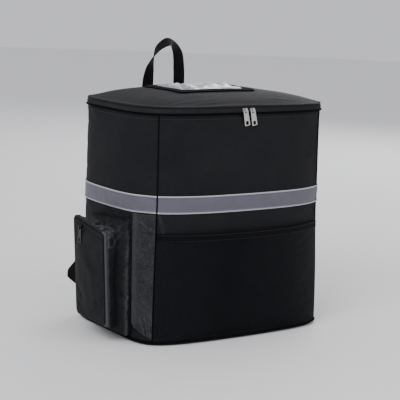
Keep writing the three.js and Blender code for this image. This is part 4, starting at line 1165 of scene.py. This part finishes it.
sleeve_start = side_turn(pouch_front, 0.12)
sleeve_end = 5 / 8 - seam_gap
sleeve_share, sleeve_up = spread(60, 190)
sleeve_low = sleeve_foot_rear + (sleeve_foot_front - sleeve_foot_rear) * np.sqrt(sleeve_share)
sleeve_height = sleeve_low + sleeve_up * (sleeve_head - sleeve_low)
sleeve_turns = sleeve_start + sleeve_share * (sleeve_end - sleeve_start)
sleeve_base = on_wall(sleeve_turns, sleeve_height)
edge_distance = np.minimum(sleeve_share, 1 - sleeve_share)
sleeve_free = np.clip(edge_distance / 0.12, 0, 1)
crumple = (ruffle(sleeve_base * [1, 1, 0.55], 0.02, 6.3) * 0.0019
           + ruffle(sleeve_base, 0.009, 9.9) * 0.0011 + ruffle(sleeve_base, 0.005, 2.9) * 0.0004)
sleeve_rise = sleeve_height - sleeve_low
pucker_wave = np.sin(sleeve_share * 40 + 1.3 * np.sin(sleeve_share * 15) + sleeve_rise * 180)
puckers = pucker_wave * np.exp(-(sleeve_rise / 0.019) ** 1.5)
fold_line = (0.2265 - 0.024 * sleeve_share / 0.8) - sleeve_height
top_fold = np.exp(-(fold_line / 0.0035) ** 2) * np.clip((sleeve_share - 0.25) / 0.2, 0, 1)
bulge = 0.0035 * np.sin(math.pi * sleeve_share) * np.clip(sleeve_up / 0.06, 0, 1)
sleeve_out = (0.0019 + bulge + sleeve_free * (crumple + 0.003 * top_fold)
              + 0.0018 * puckers * np.clip(edge_distance / 0.05, 0, 1))
sleeve_table = on_wall(sleeve_turns, sleeve_height, np.maximum(sleeve_out, 0.0012))
sleeve = cut_cloth("side_sleeve_cloth", sleeve_table)
thicken(sleeve, 0.0009)
brushed_cloth = woven("brushed_cloth", (0.0058, 0.0059, 0.0072), yarns=1100, bloom=0.75, pale_and_highlight_gain=7.5,
                      roughness=0.85, relief=0.0012, sheen=0.05, painted_light=0.9)
# Painted highlights: an upright pale band near the rear edge, pale crinkles along the puckered foot and a
# pale line on the top fold.
paint_light_points(sleeve, 0.9 * np.exp(-((sleeve_share - 0.12) / 0.1) ** 2)
           + (0.35 + 0.65 * pucker_wave) * np.exp(-(sleeve_rise / 0.03) ** 2) + 0.5 * top_fold)
finish(sleeve, brushed_cloth, "body_cloth", "side_sleeve")

# Side pouch. A bellows of the coated cloth on the left side: a gusset with a fold all round, sewn
# to the side, and a padded face with a zip across it. The top has slumped into creases.
pouch_length = 0.104
pouch_rear = pouch_front + pouch_length
pouch_reach = 0.044
pouch_top = 0.211
pouch_top_drop = 0.001
pouch_front_sag = 0.022
pouch_front_rise = 0.006
pouch_foot_rise = 0.025
pouch_lean = 0.011
pouch_foot = mesh_foot
pouch_edge = 0.004


def pouch_fall(y, height, reach):
    """Towards its front end the top of the pouch rises at the body and sags at the face."""
    fall = (pouch_front_sag * reach - pouch_front_rise) * (pouch_rear - y) / pouch_length
    return height - fall * (height - pouch_foot) / (pouch_top - pouch_foot)


def pouch_ring(turn, reach, inset):
    """Depth and height of the pouch's outline at a share of its reach."""
    angle = square_angle(turn)
    reach, inset = np.broadcast_arrays(reach, inset)
    n = 40
    far = (np.abs(np.cos(angle)) ** n + np.abs(np.sin(angle)) ** n) ** (-1 / n)
    top = pouch_top - pouch_top_drop * reach - inset
    foot = pouch_foot + pouch_foot_rise * reach ** 2 + inset
    y = (pouch_front + pouch_rear) / 2 - np.cos(angle) * far * (pouch_length / 2 - inset)
    height = (top + foot) / 2 + np.sin(angle) * far * (top - foot) / 2
    return y, pouch_fall(y, height, reach)


def pouch_face_x(height):
    return -body_width / 2 - pouch_reach - pouch_lean * (height - pouch_foot) / (pouch_top - pouch_foot)


def wall_x(y, height):
    """The body wall's x at points of its left side."""
    turns = np.linspace(3 / 8 + 0.002, 5 / 8 - 0.002, 60)
    heights = np.linspace(0.008, 0.24, 30)
    grid = on_wall(turns[None, :], heights[:, None])
    found_x = np.empty(y.shape)
    rows = np.clip((height - heights[0]) / (heights[1] - heights[0]), 0, 28.999)
    low = rows.astype(int)
    part = rows - low
    for place in np.ndindex(y.shape):
        below = np.interp(-y[place], -grid[low[place], :, 1], grid[low[place], :, 0])
        above = np.interp(-y[place], -grid[low[place] + 1, :, 1], grid[low[place] + 1, :, 0])
        found_x[place] = below * (1 - part[place]) + above * part[place]
    return found_x


def pouch_points(turn, reach, inset):
    y, height = pouch_ring(turn, reach, inset)
    start = wall_x(y, height) - 0.0006
    return np.stack([start + (pouch_face_x(height) - start) * reach, y, height], -1)


gusset_columns = 272
gusset_rows = 30
gusset_turn, gusset_share = spread(gusset_columns, gusset_rows)
gusset_reach = gusset_share * (1 - pouch_edge / pouch_reach)
gusset_fold = np.interp(gusset_reach, [0, 0.1, 0.2, 0.28, 0.45, 0.62, 0.82, 1],
                        [0, 0.0004, -0.0016, 0.0002, 0.0115, 0.0055, -0.0008, 0])
gusset_table = pouch_points(gusset_turn, gusset_reach, gusset_fold)
gusset_top = np.clip((np.sin(square_angle(gusset_turn)) - 0.45) / 0.3, 0, 1)
gusset_free = np.sin(math.pi * gusset_share) ** 0.7
crinkle = 1 - np.abs(ruffle(gusset_table * [0.7, 1, 1], 0.011, 1.1)) * 3
lift = crinkle * (0.0003 + 0.0022 * gusset_top) + ruffle(gusset_table, 0.006, 5.5) * 0.0016 * gusset_top
lift += ruffle(gusset_table, 0.03, 4.7) * 0.0012
gusset_table = pouch_points(gusset_turn, gusset_reach, gusset_fold - lift * gusset_free)
gusset = cut_cloth("side_pouch_gusset", gusset_table, around=True)
gusset_held = np.zeros_like(gusset_turn)
gusset_held[:2] = 1
gusset_held[-2:] = 1
settle(gusset, gusset_held, pressure=1.0, slack=0.03, limit=0.003, bending=0.3)
gusset_upright = 1 - gusset_top
# Painted highlights: on the crinkles of the slumped top, and in two upright bands along the folds, one near
# the body and one near the face.
gusset_painted_highlight = np.clip(crinkle, 0, 1) ** 2 * gusset_top * np.clip((gusset_reach - 0.3) / 0.25, 0, 1)
gusset_painted_highlight += 0.5 * gusset_upright * np.exp(-((gusset_reach - 0.2) / 0.06) ** 2)
gusset_painted_highlight += 0.5 * gusset_upright * np.clip((gusset_reach - 0.84) / 0.07, 0, 1)
paint_light_points(gusset, gusset_painted_highlight)
gusset_table = table_of(gusset, gusset_columns, gusset_rows)
turn_out(gusset)
thicken(gusset, 0.0012)
# Its pale colour is set far above the cloth's own, for the painted highlights on the pouch and its faint
# mottle.
side_cloth = woven("side_cloth", (0.0041, 0.0043, 0.0058), bloom=0.1, pale_and_highlight_gain=13.0, roughness=0.55,
                   relief=0.0005, gloss=0.12, painted_light=1.7)
finish(gusset, side_cloth, "body_cloth", "side_pouch")

face_cells = 90
face_share, face_angle = square_table(face_cells)
face_turn = turn_of(face_angle)
face_edge = pouch_points(face_turn, np.full_like(face_turn, 1.0), np.full_like(face_turn, 0.0014))
face_edge[..., 0] -= 0.0005
face_middle = face_edge[0].mean(axis=0) * 0.5 + face_edge[-1].mean(axis=0) * 0.5
face_table = face_middle + (face_edge - face_middle) * face_share[..., None]
face_out = 0.0045 * (1 - face_share ** 2)
face_free = np.clip((1 - face_share) / 0.2, 0, 1)
face_out = face_out + face_free * (ruffle(face_table * [1, 1, 0.4], 0.022, 3.3) * 0.0016
                                   + ruffle(face_table, 0.05, 8.8) * 0.0014)
face_table[..., 0] -= face_out
pouch_face = cut_cloth("side_pouch_face", face_table)
face_held = np.zeros_like(face_share)
face_held[face_share > 0.97] = 1
settle(pouch_face, face_held, pressure=1.5, slack=0.015, limit=0.0025, bending=0.3)
face_table = table_of(pouch_face, face_cells, face_cells)
edit(pouch_face, bpy.ops.mesh.flip_normals)
thicken(pouch_face, 0.0014)
finish(pouch_face, side_cloth, "body_cloth", "side_pouch")


def on_face(y, height, out=0.0):
    """Points on the pouch's face, so far out from it."""
    y, height = np.broadcast_arrays(np.asarray(y, float), height)
    flat = face_table.reshape(-1, 3)
    points = []
    for place in zip(y.ravel(), height.ravel()):
        near = np.argsort((flat[:, 1] - place[0]) ** 2 + (flat[:, 2] - place[1]) ** 2)[:6]
        gap = np.hypot(flat[near, 1] - place[0], flat[near, 2] - place[1]) + 1e-5
        points.append((np.sum(flat[near, 0] / gap) / np.sum(1 / gap), *place))
    points = np.array(points).reshape(*y.shape, 3)
    points[..., 0] -= out
    return points


lip = gusset_table[-1, :-1]
rim = pouch_points(np.linspace(0, 1, gusset_columns + 1)[:-1], np.full(gusset_columns, 0.985),
                   np.full(gusset_columns, pouch_edge * 0.6))
_, edge_row = spread(gusset_columns, 5)
closed_lip = np.concatenate([lip, lip[:1]])
closed_rim = np.concatenate([rim, rim[:1]])
edge_way = edge_row[..., None]
edge_table = closed_lip[None] * (1 - edge_way) + closed_rim[None] * edge_way
pouch_border = cut_cloth("side_pouch_border", edge_table, around=True)
# A painted highlight, even all round, on the rounded edge between gusset and face.
paint_light_points(pouch_border, 0.3 + 0 * edge_row)
turn_out(pouch_border)
thicken(pouch_border, 0.001)
finish(pouch_border, side_cloth, "body_cloth", "side_pouch")
cord_path = (lip + rim) / 2
cord_normals = cord_path - cord_path.mean(axis=0)
cord_normals[:, 0] = -0.04
cord_normals = unit(cord_normals)
pouch_cord = sweep("side_pouch_cord", cord_path + cord_normals * 0.0006, cord_normals, round_cord(0.0024),
                   closed=True)
# A painted highlight on the front end of the cord, faint elsewhere.
cord_highlight_start = -0.074
cord_front = np.clip((cord_highlight_start - np.append(cord_path[:, 1], cord_path[0, 1])) / 0.006, 0, 1)
paint_light_points(pouch_cord, np.repeat(0.1 + 0.9 * cord_front[:, None], 11, axis=1))
finish(pouch_cord, side_cloth, "body_cloth", "pouch_piping")

zip_share, zip_up = spread(60, 6)
pouch_zip_front = -0.075
pouch_zip_length = 0.086
pouch_zip_foot = 0.1945
pouch_zip_height = 0.009
pouch_teeth_middle = 0.199
zip_y = pouch_zip_front + zip_share * pouch_zip_length
zip_height = pouch_fall(zip_y, pouch_zip_foot + zip_up * pouch_zip_height, 1)
zip_table = on_face(zip_y, zip_height, 0.0011)
pouch_tape = cut_cloth("side_pouch_zip_tape", zip_table, flip=True)
thicken(pouch_tape, 0.001)
finish(pouch_tape, binding_tape, "binding", "pouch_zip")
coil("side_pouch_zip_teeth",
     lambda turn, up, out: on_face(turn, pouch_fall(turn, pouch_teeth_middle + up, 1), 0.001 + out),
     (-0.074, 0.010), length=0.084, height=0.003)

# Shoulder straps. Contoured foam in cloth, bound along both edges, sewn in under the rim and
# standing off the back. Each carries a flat buckle on its lower end.
strap_width = 0.062
strap_thickness = 0.009
strap_length = 0.235
strap_stand_off = 0.048
strap_splay = 0.042
strap_head = 0.388
strap_seam = 0.86
strap_top_x = handle_span / 2 + webbing_width / 2 + 0.006 + strap_width * 0.8 / 2
strap_rows = [
    (0, 0, 0, 0.8), (0.02, 0.34, 0.05, 0.9), (0.08, 0.76, 0.18, 1), (0.2, 1, 0.38, 1),
    (0.42, 0.94, 0.6, 0.96), (0.7, 0.72, 0.8, 0.8), (1, 0.5, 1, 0.5),
]
strap_wall = on_outline(0.25 - 0.04, strap_head)[1] + 0.0035
strap_cloth = woven("strap_cloth", (0.005, 0.0052, 0.006), yarns=900, bloom=0.6, roughness=0.75)
for word, side in (("left", -1), ("right", 1)):
    points = [(side * (strap_top_x + splay * strap_splay), strap_wall + off * strap_stand_off,
               strap_head - down * strap_length) for splay, off, down, width in strap_rows]
    path, at = smooth_path(points, 110)
    widths = np.interp(at, range(len(strap_rows)), [row[3] for row in strap_rows]) * strap_width
    along = unit(np.gradient(path, axis=0))
    across = unit(np.cross(np.array([0, 1, 0]), along))
    through = np.cross(along, across)
    angles = np.linspace(0, math.tau, 41)
    reach = (np.abs(np.cos(angles)) ** 3 + np.abs(np.sin(angles)) ** 3) ** (-1 / 3)
    out = np.sin(angles) * reach
    aside = np.cos(angles) * reach
    groove = 1 - 0.55 * np.exp(-((np.abs(aside) - strap_seam) / 0.05) ** 2)
    rows = (path[:, None] + across[:, None] * (aside[None, :] * widths[:, None] / 2)[..., None]
            + through[:, None] * (out * groove * strap_thickness / 2)[None, :, None])
    strap = cut_cloth(f"shoulder_strap_{word}_pad", rows, around=True)
    held = np.zeros(rows.shape[:2])
    held[:, np.abs(np.abs(aside) - strap_seam) < 0.06] = 1
    held[:2] = 1
    held[-2:] = 1
    settle(strap, held, pressure=3.0, slack=0.01, limit=0.0015)
    close_ends(strap)
    finish(strap, strap_cloth, "body_cloth", f"shoulder_strap_{word}")
    rows = []
    for edge in (-1, 1):
        for face in (-1, 1):
            line = (path + across * (edge * strap_seam * widths / 2)[:, None]
                    + through * face * strap_thickness * 0.26)
            rows.append(stitches("strap_row", line, through * face))
    finish(join(f"shoulder_strap_{word}_stitches", rows), grey_thread, "body_cloth")


# Lower webbing and corner tabs. A triangle of folded webbing in each rear corner seam holds a
# strap that runs up to the buckle, round its middle bar and down as a free tail.
def softened(name, node_name, material, slot):
    """A cloth copy of a CAD piece: its long edges kept, its bends made smooth."""
    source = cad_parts[node_name]
    piece = bpy.data.objects.new(name, source.data.copy())
    bpy.context.scene.collection.objects.link(piece)
    edit(piece, lambda: bpy.ops.mesh.remove_doubles(threshold=1e-5),
         lambda: bpy.ops.mesh.tris_convert_to_quads(face_threshold=1.0, shape_threshold=1.0),
         lambda: bpy.ops.mesh.select_all(action="DESELECT"),
         lambda: bpy.ops.mesh.edges_select_sharp(sharpness=math.radians(50)),
         lambda: bpy.ops.transform.edge_crease(value=0.9))
    apply(piece, "SUBSURF", levels=2, render_levels=2)
    piece.data.shade_smooth()
    finish(piece, material, slot, node_name)


plain_webbing = woven("plain_webbing", (0.0028, 0.0028, 0.003), yarns=700, roughness=0.7, on_uv=False)
for word in ("left", "right"):
    softened(f"lower_webbing_{word}_band", f"lower_webbing_{word}", plain_webbing, "webbing")
    softened(f"corner_tab_{word}_fold", f"corner_tab_{word}", plain_webbing, "webbing")
